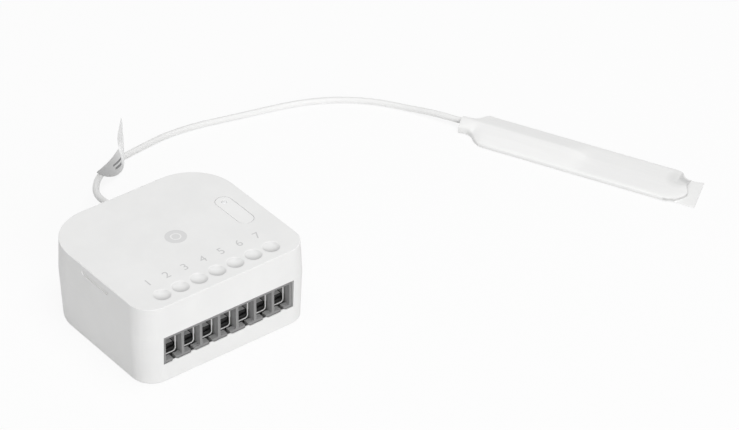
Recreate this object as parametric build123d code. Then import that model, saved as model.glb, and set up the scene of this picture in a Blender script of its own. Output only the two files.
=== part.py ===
"""Smart relay module: a snap-together housing with a seven-pole clamp terminal and a wired aerial.

All sizes are in millimetres. The origin is at the middle of the housing's footprint, on the
surface that it stands on. X runs along the row of terminals, the terminals face -Y and Z is up.
"""
from build123d import *
from math import atan2, degrees, hypot, pi, radians, tan
import os

# Housing: base and cover meet at the seam, where the housing is widest
side_margin = 5.525
housing_depth = 42.5
housing_height = 20.75
cover_height = 8.08
base_draft = 0.575
cover_draft = 0.4
rear_corner_radius = 12.2
front_corner_radius = 5.9
wall = 1.2
floor_thickness = 1.0
roof_thickness = 1.2
base_edge_break = 0.3
cover_edge_break = 0.3

# Lap joint along the seam
tongue_thickness = 0.5
tongue_height = 0.8
lap_gap = 0.1

# Snap hooks of the cover, two on each side
hook_width = 4.0
hook_thickness = 0.9
hook_reach = 3.2
hook_wall_gap = 0.1
barb_depth = 0.45
barb_height = 1.2
barb_pocket_gap = 0.15
front_hook_from_front = 8.2
rear_hook_from_rear = 16.2

# Terminal block
pole_count = 7
pole_pitch = 5.0
partition = 0.75
end_wall = 0.675
block_gap = 0.2
block_roof = 2.0
nose_recess = 0.5
nose_bottom_drop = 0.6
nose_seam_gap = 0.1
nose_pocket_gap = 0.1
tab_height = 0.42
tab_foot_left = 0.63
tab_foot_right = 0.98
tab_top_left = 0.44
tab_top_right = 0.3
entry_face = 0.73
entry_depth = 1.45
entry_slot_width = 0.8
entry_slot_offset = 0.05
block_wall_gap = 0.2
block_rear_wall = 3.75

# Rising cages: a closed loop of bent strip with a threaded collar in its lower wall
cage_side_gap = 0.225
cage_length = 4.4
cage_sheet = 0.45
cage_corner_radius = 1.1
cage_step = 0.08
cage_end_gap = 0.2
cage_top_gap = 0.2
cage_floor_gap = 0.15
closed_wire_space = 0.8
collar_height = 0.7
collar_length = 3.4

# Clamp screws, driven from below
screw_head_step = 0.65
screw_running_gap = 0.05
screw_tip_gap = 0.05
screw_head_spacing = 1.3
screw_head_height = 1.2
screw_head_gap = 0.1
screw_seat_gap = 0.2
screw_floor_gap = 0.25
screw_slot_width = 0.6
screw_slot_depth = 0.5
ledge_thickness = 0.65
access_ledge = 0.25
shaft_bore_gap = 0.2

# Contact plates with their solder pins
plate_side_gap = 0.2
plate_thickness = 0.8
plate_collar_gap = 0.65
plate_front_setback = 0.45
plate_slot_gap = 0.1
pin_width = 1.0
pin_from_block_rear = 1.4
pin_proud = 0.9
pin_hole_gap = 0.15

# Main board
space_over_board = 3.95
board_thickness = 1.6
board_wall_gap = 0.5
board_front_gap = 0.9
board_hook_gap = 0.3

# Posts of the base and hold-downs of the cover
post_radius = 1.6
post_pin_radius = 0.75
post_pin_proud = 0.8
post_pin_gap = 0.1
post_from_side = 6.9
post_from_rear = 6.95
hold_down_wall = 0.6
hold_down_gap = 0.1
rib_thickness = 1.0
rib_width = 24.0
rib_from_block_front = 4.6

# Relays
relay_end_from_middle = 2.75
relay_rear_gap = 8.735
relay_floor_gap = 0.8
relay_side_gap = 1.8
relay_block_gap = 0.7
relay_spacing_gap = 0.6
relay_edge_radius = 0.5
relay_standoff = 0.2
lead_half = 0.35
lead_hole_gap = 0.1
relay_lead_inset = 1.6

# Mains power supply
transformer_floor_gap = 3.2
transformer_core_thickness = 3.0
transformer_winding_inset = 1.1
transformer_end_from_middle = 1.75
transformer_capacitor_gap = 2.15
capacitor_floor_gap = 1.9
capacitor_side_gap = 0.85
capacitor_spacing_gap = 0.5
capacitor_fuse_gap = 3.4
capacitor_rim = 0.4
varistor_floor_gap = 3.0
varistor_thickness = 4.2
varistor_standoff = 1.0
varistor_gap = 1.2
fuse_radius = 1.6
fuse_length = 7.5
fuse_cap_length = 1.2
fuse_cap_step = 0.2
fuse_gap = 2.2
fuse_from_rear = 11.235

# Radio module on top of the board
radio_post_gap = 0.475
radio_end_from_middle = 1.5
radio_width = 14.0
radio_thickness = 0.8
radio_from_rear = 15.0
shield_end_margin = 2.0
shield_width = 11.0
shield_height = 2.2
shield_sheet = 0.2
shield_corner_radius = 0.5
chip_side = 6.0
chip_height = 0.9

# Key, its light guide, switch and lamp
key_from_side = 6.395
key_width = 4.06
key_length = 12.3
key_gap = 0.08
key_flange = 0.8
key_flange_thickness = 0.6
key_flange_gap = 0.15
key_travel = 0.3
stem_radius = 1.2
stem_gap = 0.05
guide_radius = 0.65
guide_press_gap = 0.02
guide_from_key_middle = 4.0
guide_edge_break = 0.15
switch_side = 4.6
switch_height = 2.0
switch_from_key_middle = 1.6
plunger_radius = 1.0
plunger_gap = 0.05
plunger_proud = 0.6
plunger_sunk = 0.5
led_length = 1.6
led_width = 1.0
led_height = 0.8
guide_led_gap = 0.5

# Marks in the outside of the cover
dish_spacing = 0.85
dish_depth = 0.7
dish_rim_bevel = 0.1
groove_length = 10.4
groove_width = 1.3
groove_depth = 0.2
groove_from_top = 1.8
groove_from_middle = 1.9

# Aerial cable and its plug
cable_radius = 0.8
cable_gap = 0.05
cable_x = 2.5
socket_side = 2.6
socket_height = 0.5
plug_width = 2.6
plug_length = 3.6
plug_skin = 0.4
plug_from_rear = 6.2

# Aerial: sleeve, board and the tail of the cable
sleeve_wall = 0.3
antenna_board_thickness = 0.6
antenna_board_length = 48.5
antenna_board_side_gap = 0.1
antenna_board_start = 8.4
tail_length = 26.0
sleeve_length = 64.1
neck_length = 3.3
flare_length = 5.4
shoulder_length = 8.1
ridge_length = 26.5
ridge_fade_length = 34.0
body_end_length = 57.3
pinch_length = 60.2
sheet_length = 61.8
neck_near = 3.2
mouth_far = 1.7
neck_far = 2.4
flare_near = 3.8
flare_far = 5.4
body_near = 6.6
body_far = 6.1
pinch_near = 5.8
pinch_far = 4.5
end_near = 5.9
end_far = 5.1
crest_half_width = 0.7
neck_edge_height = 2.3
body_edge_height = 1.4
ridge_height = 2.95
body_crest_height = 1.65
pinch_crest_height = 1.4
end_edge_height = 0.75
end_crest_height = 0.85

# Film label folded round the cable: a lobe beside the cable that twists up into a narrow leaf
label_height = 12.8
label_thickness = 0.2
label_wrap_width = 1.6
label_wrap_wall = 0.2
label_wrap_gap = 0.05
label_tab_height = 3.0
label_x = 25.1
# Low and high edge of the film at each station, along, across and above the cable, per label_height
label_shares = [
    (-1.085, -0.473, 0.461, -1.063, -0.496, 0.500),
    (-0.907, -0.460, 0.281, -0.780, -0.401, 0.461),
    (-0.665, -0.395, 0.109, -0.481, -0.253, 0.406),
    (-0.445, -0.362, 0.039, -0.245, -0.105, 0.359),
    (-0.233, -0.272, 0.031, -0.154, -0.056, 0.344),
    (-0.099, -0.152, 0.094, -0.124, -0.033, 0.359),
    (-0.033, -0.079, 0.234, -0.087, 0.031, 0.438),
    (-0.015, -0.061, 0.492, -0.076, 0.046, 0.562),
    (-0.009, -0.045, 0.688, -0.053, 0.013, 0.750),
    (-0.028, -0.053, 0.984, -0.039, -0.041, 1.000),
]

# One overrun serves all cuts
overrun = 1.0

# Widths that follow from the pitch of the terminals
block_width = pole_count * pole_pitch - partition + 2 * end_wall
housing_width = block_width + 2 * side_margin
cell_width = pole_pitch - partition
cage_width = cell_width - 2 * cage_side_gap
plate_width = cage_width - 2 * cage_sheet - 2 * plate_side_gap
screw_head_radius = (pole_pitch - screw_head_spacing) / 2
screw_radius = screw_head_radius - screw_head_step
access_hole_radius = screw_head_radius - access_ledge
dish_diameter = pole_pitch - dish_spacing

# Heights of the housing, the board and the seam
seam_height = housing_height - cover_height
roof_height = housing_height - roof_thickness
board_top = roof_height - space_over_board
board_height = board_top - board_thickness
inner_half_width = housing_width / 2 - base_draft - wall
inner_half_depth = housing_depth / 2 - base_draft - wall

# Terminal block: the cage's travel is what the chamber's height leaves for the wire and the lift
ledge_bottom = floor_thickness + screw_floor_gap + screw_head_height + screw_seat_gap
chamber_floor = ledge_bottom + ledge_thickness
chamber_top = board_height - block_roof
cage_fixed_height = 2 * cage_sheet + collar_height + plate_collar_gap + plate_thickness
chamber_gaps = cage_floor_gap + cage_top_gap
cage_travel = (chamber_top - chamber_floor - cage_fixed_height - closed_wire_space - chamber_gaps) / 2
cage_height = cage_fixed_height + closed_wire_space + cage_travel
cage_top = chamber_top - cage_top_gap
cage_bottom = cage_top - cage_height
entry_floor = cage_bottom + cage_step
sill_height = entry_floor - entry_face
nose_front = -(housing_depth / 2 - base_draft / 3 - nose_recess)
block_front = -(inner_half_depth - block_wall_gap)
nose_bottom = sill_height - nose_bottom_drop
nose_top = seam_height - nose_seam_gap
chamber_front = nose_front + entry_depth
cage_front = chamber_front + cage_end_gap
cage_rear = cage_front + cage_length
chamber_rear = cage_rear + cage_end_gap
block_rear = chamber_rear + block_rear_wall
screw_y = (cage_front + cage_rear) / 2
plate_bottom = cage_bottom + cage_sheet + collar_height + plate_collar_gap
plate_top = plate_bottom + plate_thickness
pin_y = block_rear - pin_from_block_rear
post_x = housing_width / 2 - post_from_side
post_y = housing_depth / 2 - post_from_rear
hold_down_radius = post_pin_radius + post_pin_gap + hold_down_wall

# Components under the board fill the space between the block and the rear wall
parts_front = block_rear + relay_block_gap
relay_low_x = -inner_half_width + relay_side_gap
relay_length = -relay_end_from_middle - relay_low_x
relay_x = relay_low_x + relay_length / 2
relay_width = (inner_half_depth - relay_rear_gap - parts_front - relay_spacing_gap) / 2
relay_1_y = parts_front + relay_width / 2
relay_2_y = relay_1_y + relay_width + relay_spacing_gap
fuse_y = inner_half_depth - fuse_from_rear
varistor_y = fuse_y - fuse_gap - varistor_thickness / 2
varistor_radius = (board_height - varistor_standoff - floor_thickness - varistor_floor_gap) / 2
transformer_width = varistor_y - varistor_thickness / 2 - varistor_gap - parts_front
transformer_y = parts_front + transformer_width / 2
capacitors_rear = fuse_y - fuse_radius - capacitor_fuse_gap
capacitor_radius = (capacitors_rear - parts_front - capacitor_spacing_gap) / 4
capacitor_x = inner_half_width - capacitor_side_gap - capacitor_radius
capacitor_1_y = parts_front + capacitor_radius
capacitor_2_y = capacitor_1_y + 2 * capacitor_radius + capacitor_spacing_gap
transformer_high_x = capacitor_x - capacitor_radius - transformer_capacitor_gap
transformer_length = transformer_high_x - transformer_end_from_middle
transformer_x = transformer_end_from_middle + transformer_length / 2
fuse_x = capacitor_x - capacitor_radius

# Radio board between the left hold-down and the middle
radio_low_x = -post_x + hold_down_radius + radio_post_gap
radio_length = radio_end_from_middle - radio_low_x
radio_x = radio_low_x + radio_length / 2
radio_y = housing_depth / 2 - radio_from_rear
shield_length = radio_length - 2 * shield_end_margin

# Key, switch, plug and hooks
key_x = housing_width / 2 - key_from_side
switch_y = -switch_from_key_middle
led_y = guide_from_key_middle
key_flange_top = roof_height - key_flange_gap
key_flange_bottom = key_flange_top - key_flange_thickness
switch_top = board_top + switch_height
plunger_top = switch_top + plunger_proud
rear_face = housing_depth / 2
plug_rear = rear_face - plug_from_rear
cable_height = seam_height
front_hook_y = -housing_depth / 2 + front_hook_from_front
rear_hook_y = housing_depth / 2 - rear_hook_from_rear
tail_height = sleeve_wall + antenna_board_thickness + cable_radius

# Route of the free cable: out of the rear wall, down to the floor, round and up to the sleeve's mouth
cable_route = [
    (cable_x, rear_face, cable_height),
    (2.5, 26.4, cable_height),
    (1.5, 31.6, 12.4),
    (3.4, 37.2, 10.8),
    (8.6, 44.9, 7.0),
    (14.2, 52.0, 3.0),
    (20.4, 57.4, cable_radius),
    (28.8, 58.6, cable_radius),
    (42.2, 59.9, cable_radius),
    (59.4, 55.4, cable_radius),
    (77.0, 50.6, cable_radius),
    (88.3, 42.2, cable_radius),
    (94.3, 32.8, cable_radius),
    (97.51, 25.61, tail_height),
    (100.42, 19.24, tail_height),
]
arc_share = 0.45


def lean(height):
    """How far the side walls lean in at a height, measured from the seam."""
    if height <= seam_height:
        return base_draft * (seam_height - height) / seam_height
    return cover_draft * (height - seam_height) / (housing_height - seam_height)


def outline(height, inset=0):
    """Rounded outline of the housing at a height, moved inwards by the inset."""
    shrink = lean(height) + inset
    face = Rectangle(housing_width - 2 * shrink, housing_depth - 2 * shrink)
    rear = face.vertices().group_by(Axis.Y)[-1]
    face = fillet(rear, rear_corner_radius - shrink)
    front = face.vertices().group_by(Axis.Y)[0]
    front = front.filter_by_position(Axis.X, -housing_width, housing_width)
    face = fillet(front, front_corner_radius - shrink)
    return Pos(0, 0, height) * face


def slab(low, high, inset=0):
    """Solid between two heights whose sides follow the housing's leaning walls."""
    return loft([outline(low, inset), outline(high, inset)], ruled=True)


def block(low_x, high_x, low_y, high_y, low_z, high_z):
    """Box between two corners."""
    box = Box(high_x - low_x, high_y - low_y, high_z - low_z, align=(Align.MIN, Align.MIN, Align.MIN))
    return Pos(low_x, low_y, low_z) * box


def upright(radius, low, high, x=0, y=0):
    """Vertical cylinder between two heights."""
    return Pos(x, y, low) * Cylinder(radius, high - low, align=(Align.CENTER, Align.CENTER, Align.MIN))


def pole_places():
    """X of each pole, from the left."""
    first = -(pole_count - 1) / 2 * pole_pitch
    return [first + pole_pitch * pole for pole in range(pole_count)]


def hook_places():
    """Side and Y of each snap hook."""
    return [(side, y) for side in (-1, 1) for y in (front_hook_y, rear_hook_y)]


def cable_bore(gap):
    """Straight bore of the cable through the rear wall."""
    bore = Cylinder(cable_radius + gap, 2 * plug_from_rear)
    return Pos(cable_x, rear_face, cable_height) * Rot(90, 0, 0) * bore


def ring_between(low, high, outer_inset, inner_inset):
    """Upright ring that follows the housing between two heights."""
    outer = extrude(outline(low, outer_inset), high - low)
    inner = extrude(Pos(0, 0, -overrun) * outline(low, inner_inset), high - low + 2 * overrun)
    return outer - inner


def window_box(gap, low, high):
    """Space of the terminal window, through the front wall."""
    half = block_width / 2 + block_gap + gap
    return block(-half, half, -housing_depth / 2 - overrun, block_front, low, high)


def make_base_case():
    """Lower shell: floor, leaning walls, terminal window, tongue, posts and snap pockets."""
    shell = slab(0, seam_height)
    bottom_edges = shell.faces().sort_by(Axis.Z)[0].edges()
    shell = chamfer(bottom_edges, base_edge_break)
    shell -= slab(floor_thickness, seam_height, wall)
    tongue = ring_between(seam_height, seam_height + tongue_height, wall - tongue_thickness, wall)
    tongue -= window_box(tongue_thickness, seam_height - overrun, seam_height + overrun + tongue_height)
    shell += tongue
    shell -= window_box(0, sill_height, seam_height + overrun) - sill_tabs()
    half_nose = block_width / 2 + block_gap
    pocket_low = nose_bottom - nose_pocket_gap
    pocket_front = nose_front - nose_pocket_gap
    shell -= block(-half_nose, half_nose, pocket_front, block_front, pocket_low, sill_height + overrun)
    for x in pole_places():
        shell -= upright(access_hole_radius, -overrun, floor_thickness + overrun, x, screw_y)
    for side in (-1, 1):
        post = upright(post_radius, floor_thickness, board_height, side * post_x, post_y)
        post += upright(post_pin_radius, board_height, board_top + post_pin_proud, side * post_x, post_y)
        shell += post
    for side, y in hook_places():
        shell -= hook_pocket(side, y)
    shell -= cable_bore(cable_gap)
    return shell


def sill_tabs():
    """Small tabs of the window's lower edge that close the foot of each pole's entry slot."""
    low = sill_height - overrun
    top = sill_height + tab_height
    tabs = []
    for x in pole_places():
        face = make_face(Polyline((x - tab_foot_left, low), (x - tab_foot_left, sill_height),
                                  (x - tab_top_left, top), (x + tab_top_right, top),
                                  (x + tab_foot_right, sill_height), (x + tab_foot_right, low), close=True))
        tabs.append(extrude(Plane.XZ * face, housing_depth))
    return tabs


def hook_face(height):
    """Distance of the hooks' outer faces from the middle plane."""
    return housing_width / 2 - lean(height) - wall - hook_wall_gap


def hook_pocket(side, y):
    """Pocket in the base wall that takes the barb of a hook."""
    middle = seam_height - hook_reach + barb_height / 2
    depth = hook_wall_gap + barb_depth + barb_pocket_gap
    face = hook_face(middle)
    pocket = Box(2 * depth, hook_width + 2 * barb_pocket_gap, barb_height + 2 * barb_pocket_gap)
    return Pos(side * face, y, middle) * pocket


def snap_hook(side, y):
    """Hook that hangs inside the side wall, with a barb that points outwards."""
    low = seam_height - hook_reach
    face = min(hook_face(low), hook_face(roof_height))
    arm = block(face - hook_thickness, face, -hook_width / 2, hook_width / 2, low, roof_height)
    root_low = seam_height + tongue_height + lap_gap
    outer = housing_width / 2 - lean(roof_height) - wall / 2
    root = block(face - hook_thickness, outer, -hook_width / 2, hook_width / 2, root_low, roof_height)
    barb_outline = Polyline((face, low), (face + barb_depth, low + barb_height), (face, low + barb_height),
                            close=True)
    barb = extrude(Plane.XZ * make_face(barb_outline), hook_width / 2, both=True)
    hook = arm + root + barb
    if side < 0:
        hook = mirror(hook, about=Plane.YZ)
    return Pos(0, y, 0) * hook


def make_top_cover():
    """Upper shell: leaning walls, lap, dishes, key opening, groove, hooks and hold-downs."""
    shell = slab(seam_height, housing_height)
    top_edges = shell.faces().sort_by(Axis.Z)[-1].edges()
    shell = chamfer(top_edges, cover_edge_break)
    shell -= slab(seam_height, roof_height, wall)
    lap = ring_between(seam_height, seam_height + tongue_height + lap_gap,
                       wall - tongue_thickness - lap_gap, wall + overrun)
    lap -= window_box(tongue_thickness / 2, seam_height - overrun, seam_height + tongue_height + overrun)
    shell -= lap
    shell -= cable_bore(cable_gap)
    for side, y in hook_places():
        shell += snap_hook(side, y)
    for side in (-1, 1):
        low = board_top + hold_down_gap
        column = upright(hold_down_radius, low, roof_height, side * post_x, post_y)
        column -= upright(post_pin_radius + post_pin_gap, low - overrun,
                          board_top + post_pin_proud + hold_down_gap, side * post_x, post_y)
        shell += column
    rib_y = block_front + rib_from_block_front
    shell += block(-rib_width / 2, rib_width / 2, rib_y, rib_y + rib_thickness,
                   board_top + hold_down_gap, roof_height)
    opening = SlotOverall(key_length + 2 * key_gap, key_width + 2 * key_gap)
    opening = extrude(Pos(key_x, 0, roof_height - overrun) * Rot(0, 0, 90) * opening,
                      roof_thickness + 2 * overrun)
    shell -= opening
    shell = cut_dishes(shell)
    shell -= side_groove()
    return shell


def cut_dishes(shell):
    """One shallow round dish over each pole, with a broken rim."""
    dish_radius = dish_diameter / 2
    ball_radius = (dish_radius ** 2 + dish_depth ** 2) / (2 * dish_depth)
    for x in pole_places():
        shell -= Pos(x, screw_y, housing_height - dish_depth + ball_radius) * Sphere(ball_radius)
    rims = [edge for edge in shell.edges().filter_by(GeomType.CIRCLE)
            if abs(edge.center().Z - housing_height) < dish_rim_bevel / 2
            and abs(edge.arc_center.Y - screw_y) < dish_rim_bevel]
    return chamfer(rims, dish_rim_bevel)


def side_groove():
    """Blind groove with round ends in the left wall, for opening the housing."""
    height = housing_height - groove_from_top
    face = housing_width / 2 - lean(height)
    plane = Plane(origin=(-face + groove_depth, -groove_from_middle, height), x_dir=(0, -1, 0),
                  z_dir=(-1, 0, 0))
    return extrude(plane * SlotOverall(groove_length, groove_width), groove_depth + overrun)


def make_terminal_block_body():
    """Grey block: nose in the window, one cell per pole, screw bores and plate slots."""
    half = block_width / 2
    body = block(-half, half, block_front, block_rear, floor_thickness, board_height)
    body += block(-half, half, nose_front, block_front + overrun, nose_bottom, nose_top)
    for x in pole_places():
        body -= Pos(x, 0, 0) * pole_space()
    return body


def pole_space():
    """Everything that is cut for one pole."""
    half_cell = cell_width / 2
    entry_top = cage_top - cage_sheet + cage_floor_gap
    space = block(-half_cell, half_cell, chamber_front, chamber_rear, chamber_floor, chamber_top)
    space += block(-half_cell, half_cell, nose_front - overrun, chamber_front, entry_floor, entry_top)
    slot_low = entry_slot_offset - entry_slot_width / 2
    slot_high = entry_slot_offset + entry_slot_width / 2
    space += block(slot_low, slot_high, nose_front - overrun, chamber_front, chamber_floor, entry_floor)
    space += upright(screw_head_radius + screw_head_gap, 0, ledge_bottom, 0, screw_y)
    space += upright(screw_radius + shaft_bore_gap, 0, chamber_floor, 0, screw_y)
    half_plate = plate_width / 2 + plate_slot_gap
    low = plate_bottom - plate_slot_gap
    pin_rear = pin_y + plate_thickness / 2 + plate_slot_gap
    space += block(-half_plate, half_plate, chamber_rear, pin_rear, low, plate_top + plate_slot_gap)
    half_pin = pin_width / 2 + plate_slot_gap
    pin_front = pin_y - plate_thickness / 2 - plate_slot_gap
    space += block(-half_pin, half_pin, pin_front, pin_rear, low, board_height + overrun)
    return space


def make_clamp_cage():
    """Closed loop of bent strip whose lower wall carries a thick threaded collar."""
    middle = cage_bottom + cage_height / 2
    plane = Plane(origin=(0, cage_front, middle), x_dir=(1, 0, 0), z_dir=(0, 1, 0))
    outer = RectangleRounded(cage_width, cage_height, cage_corner_radius)
    inner = RectangleRounded(cage_width - 2 * cage_sheet, cage_height - 2 * cage_sheet,
                             cage_corner_radius - cage_sheet)
    cage = extrude(plane * (outer - inner), cage_length)
    bore_radius = screw_radius + screw_running_gap
    inner_bottom = cage_bottom + cage_sheet
    half_width = cage_width / 2 - cage_sheet / 2
    half_length = collar_length / 2
    cage += block(-half_width, half_width, screw_y - half_length, screw_y + half_length,
                  inner_bottom - cage_sheet / 2, inner_bottom + collar_height)
    cage -= upright(bore_radius, cage_bottom - overrun, inner_bottom + collar_height + overrun, 0, screw_y)
    return cage


def make_clamp_screw():
    """Screw with its slotted head below, its tip against the contact plate."""
    head_low = floor_thickness + screw_floor_gap
    head_high = head_low + screw_head_height
    screw = upright(screw_head_radius, head_low, head_high, 0, screw_y)
    screw += upright(screw_radius, head_high, plate_bottom - screw_tip_gap, 0, screw_y)
    slot = Box(screw_slot_width, 2 * screw_head_radius + overrun, 2 * screw_slot_depth)
    return screw - Pos(0, screw_y, head_low) * slot


def make_contact_plates():
    """Seven plates, each with a solder pin that rises through the main board."""
    front = cage_front + plate_front_setback
    rear = pin_y + plate_thickness / 2
    plates = []
    for x in pole_places():
        plate = block(-plate_width / 2, plate_width / 2, front, rear, plate_bottom, plate_top)
        plate += block(-pin_width / 2, pin_width / 2, rear - plate_thickness, rear, plate_bottom,
                       board_top + pin_proud)
        plates.append(Pos(x, 0, 0) * plate)
    return Compound(children=plates)


def lead_holes(places):
    """Holes in the main board for the leads of the components."""
    half = lead_half + lead_hole_gap
    return [block(x - half, x + half, y - half, y + half, board_height - overrun, board_top + overrun)
            for x, y in places]


def relay_leads(y):
    """Places of a relay's leads."""
    far = relay_length / 2 - relay_lead_inset
    side = relay_width / 2 - relay_lead_inset
    return [(relay_x + end * far, y + edge * side) for end in (-1, 1) for edge in (-1, 1)]


def transformer_leads():
    """Places of the transformer's leads."""
    far = transformer_length / 2 - relay_lead_inset
    side = transformer_width / 2 - relay_lead_inset
    return [(transformer_x + end * far, transformer_y + edge * side)
            for end in (-1, 1) for edge in (-1, 1)]


def capacitor_leads(y):
    """Places of a capacitor's leads."""
    return [(capacitor_x + end * capacitor_radius / 2, y) for end in (-1, 1)]


def varistor_leads():
    """Places of the varistor's leads."""
    return [(transformer_x + end * varistor_radius / 2, varistor_y) for end in (-1, 1)]


def fuse_leads():
    """Places of the fuse resistor's leads."""
    reach = fuse_length / 2 - lead_half
    return [(fuse_x + end * reach, fuse_y) for end in (-1, 1)]


def leads(places, low):
    """Square leads that rise into the main board and are trimmed flush with its top."""
    return [block(x - lead_half, x + lead_half, y - lead_half, y + lead_half, low, board_top)
            for x, y in places]


def make_main_pcb():
    """Main board, with notches for the hooks and holes for pins, posts and leads."""
    board = extrude(outline(board_height, wall + board_wall_gap), board_thickness)
    front = block_front + board_front_gap
    board -= block(-housing_width, housing_width, -housing_depth, front, 0, housing_height)
    for side, y in hook_places():
        low = min(hook_face(seam_height - hook_reach), hook_face(roof_height))
        low -= hook_thickness + board_hook_gap
        half = hook_width / 2 + board_hook_gap
        notch = block(low, housing_width, y - half, y + half, 0, housing_height)
        board -= notch if side > 0 else mirror(notch, about=Plane.YZ)
    pin_half = pin_width / 2 + pin_hole_gap
    for x in pole_places():
        board -= block(x - pin_half, x + pin_half, pin_y - pin_half, pin_y + pin_half, 0, housing_height)
    for side in (-1, 1):
        board -= upright(post_pin_radius + post_pin_gap, 0, housing_height, side * post_x, post_y)
    places = relay_leads(relay_1_y) + relay_leads(relay_2_y) + transformer_leads() + varistor_leads()
    places += capacitor_leads(capacitor_1_y) + capacitor_leads(capacitor_2_y) + fuse_leads()
    for hole in lead_holes(places):
        board -= hole
    return board


def make_relay(y):
    """Sealed relay that hangs under the board on four leads."""
    low = floor_thickness + relay_floor_gap
    high = board_height - relay_standoff
    half_length = relay_length / 2
    half_width = relay_width / 2
    case = block(relay_x - half_length, relay_x + half_length, y - half_width, y + half_width, low, high)
    case = fillet(case.edges().filter_by(Axis.Z), relay_edge_radius)
    for lead in leads(relay_leads(y), high - overrun):
        case += lead
    return case


def make_transformer():
    """Small transformer: two core legs round a winding, on four leads."""
    low = floor_thickness + transformer_floor_gap
    high = board_height - relay_standoff
    x = transformer_x
    half_length = transformer_length / 2
    half_width = transformer_width / 2
    inset = transformer_winding_inset
    body = block(x - half_length + inset, x + half_length - inset, transformer_y - half_width,
                 transformer_y + half_width, low + inset, high)
    body = fillet(body.edges().filter_by(Axis.Z), inset)
    half_core = transformer_core_thickness / 2
    body += block(x - half_length, x + half_length, transformer_y - half_core, transformer_y + half_core,
                  low, high - inset)
    for lead in leads(transformer_leads(), high - overrun):
        body += lead
    return body


def make_capacitors():
    """Two smoothing capacitors that hang side by side."""
    cans = []
    low = floor_thickness + capacitor_floor_gap
    high = board_height - relay_standoff
    for y in (capacitor_1_y, capacitor_2_y):
        can = upright(capacitor_radius, low, high, capacitor_x, y)
        can = chamfer(can.edges().group_by(Axis.Z)[0], capacitor_rim)
        for lead in leads(capacitor_leads(y), high - overrun):
            can += lead
        cans.append(can)
    return Compound(children=cans)


def make_varistor():
    """Coated disc on two leads."""
    height = board_height - varistor_standoff - varistor_radius
    disc = Pos(transformer_x, varistor_y, height) * Rot(90, 0, 0) * Cylinder(varistor_radius,
                                                                                       varistor_thickness)
    disc = chamfer(disc.edges().filter_by(GeomType.CIRCLE), capacitor_rim)
    for lead in leads(varistor_leads(), height):
        disc += lead
    return disc


def make_fuse_resistor():
    """Small cylinder with thicker ends, on two leads."""
    height = board_height - relay_standoff - fuse_radius
    body = Cylinder(fuse_radius - fuse_cap_step, fuse_length)
    cap_middle = fuse_length / 2 - fuse_cap_length / 2
    for end in (-1, 1):
        body += Pos(0, 0, end * cap_middle) * Cylinder(fuse_radius, fuse_cap_length)
    body = Pos(fuse_x, fuse_y, height) * Rot(0, 90, 0) * body
    for lead in leads(fuse_leads(), height):
        body += lead
    return body


def make_radio_board():
    """Small board soldered flat on the main board."""
    plate = Box(radio_length, radio_width, radio_thickness, align=(Align.CENTER, Align.CENTER, Align.MIN))
    return Pos(radio_x, radio_y, board_top) * plate


def make_radio_chip():
    """Radio chip under the shield."""
    chip = Box(chip_side, chip_side, chip_height, align=(Align.CENTER, Align.CENTER, Align.MIN))
    return Pos(radio_x, radio_y, board_top + radio_thickness) * chip


def make_radio_shield():
    """Thin metal can over the radio chip, open below."""
    low = board_top + radio_thickness
    can = extrude(RectangleRounded(shield_length, shield_width, shield_corner_radius), shield_height)
    hollow = extrude(RectangleRounded(shield_length - 2 * shield_sheet, shield_width - 2 * shield_sheet,
                                      shield_corner_radius - shield_sheet), shield_height - shield_sheet)
    return Pos(radio_x, radio_y, low) * (can - hollow)


def make_button_cap():
    """Key with a flange under the cover and a stem over the switch."""
    key = extrude(Rot(0, 0, 90) * SlotOverall(key_length, key_width), housing_height - key_flange_top)
    key = Pos(key_x, 0, key_flange_top) * key
    flange = extrude(Rot(0, 0, 90) * SlotOverall(key_length + 2 * key_flange, key_width + 2 * key_flange),
                     key_flange_thickness)
    key += Pos(key_x, 0, key_flange_bottom) * flange
    key += upright(stem_radius, plunger_top + stem_gap, key_flange_bottom, key_x, switch_y)
    key -= upright(guide_radius + guide_press_gap, board_top, housing_height + overrun, key_x, led_y)
    return key


def make_led_light_guide():
    """Clear pin in the key, with a broken edge at its top."""
    low = board_top + led_height + guide_led_gap
    pin = upright(guide_radius, low, housing_height, key_x, led_y)
    return chamfer(pin.edges().group_by(Axis.Z)[-1], guide_edge_break)


def make_tact_switch_body():
    """Square switch body with a bore for its plunger."""
    half = switch_side / 2
    body = block(key_x - half, key_x + half, switch_y - half, switch_y + half, board_top, switch_top)
    bore_low = switch_top - plunger_sunk - key_travel - plunger_gap
    return body - upright(plunger_radius + plunger_gap, bore_low, switch_top + overrun, key_x, switch_y)


def make_tact_switch_plunger():
    """Round plunger of the switch."""
    return upright(plunger_radius, switch_top - plunger_sunk, plunger_top, key_x, switch_y)


def make_status_led():
    """Lamp on the main board under the light guide."""
    return block(key_x - led_length / 2, key_x + led_length / 2, led_y - led_width / 2, led_y + led_width / 2,
                 board_top, board_top + led_height)


def make_coax_socket():
    """Small square socket under the main board."""
    socket_y = plug_rear - plug_length / 2
    half = socket_side / 2
    return block(cable_x - half, cable_x + half, socket_y - half, socket_y + half,
                 board_height - socket_height, board_height)


def make_coax_plug():
    """Plug that clips up to the socket and holds the end of the cable."""
    half = plug_width / 2
    low = cable_height - cable_radius - plug_skin
    body = block(cable_x - half, cable_x + half, plug_rear - plug_length, plug_rear, low,
                 board_height - socket_height)
    return fillet(body.edges().filter_by(Axis.Y).group_by(Axis.Z)[0], plug_skin)


def make_antenna_cable_inner():
    """Straight stretch from the plug to the outside of the rear wall."""
    stretch = Cylinder(cable_radius, rear_face - plug_rear, align=(Align.CENTER, Align.CENTER, Align.MIN))
    return Pos(cable_x, plug_rear, cable_height) * Rot(-90, 0, 0) * stretch


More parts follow.
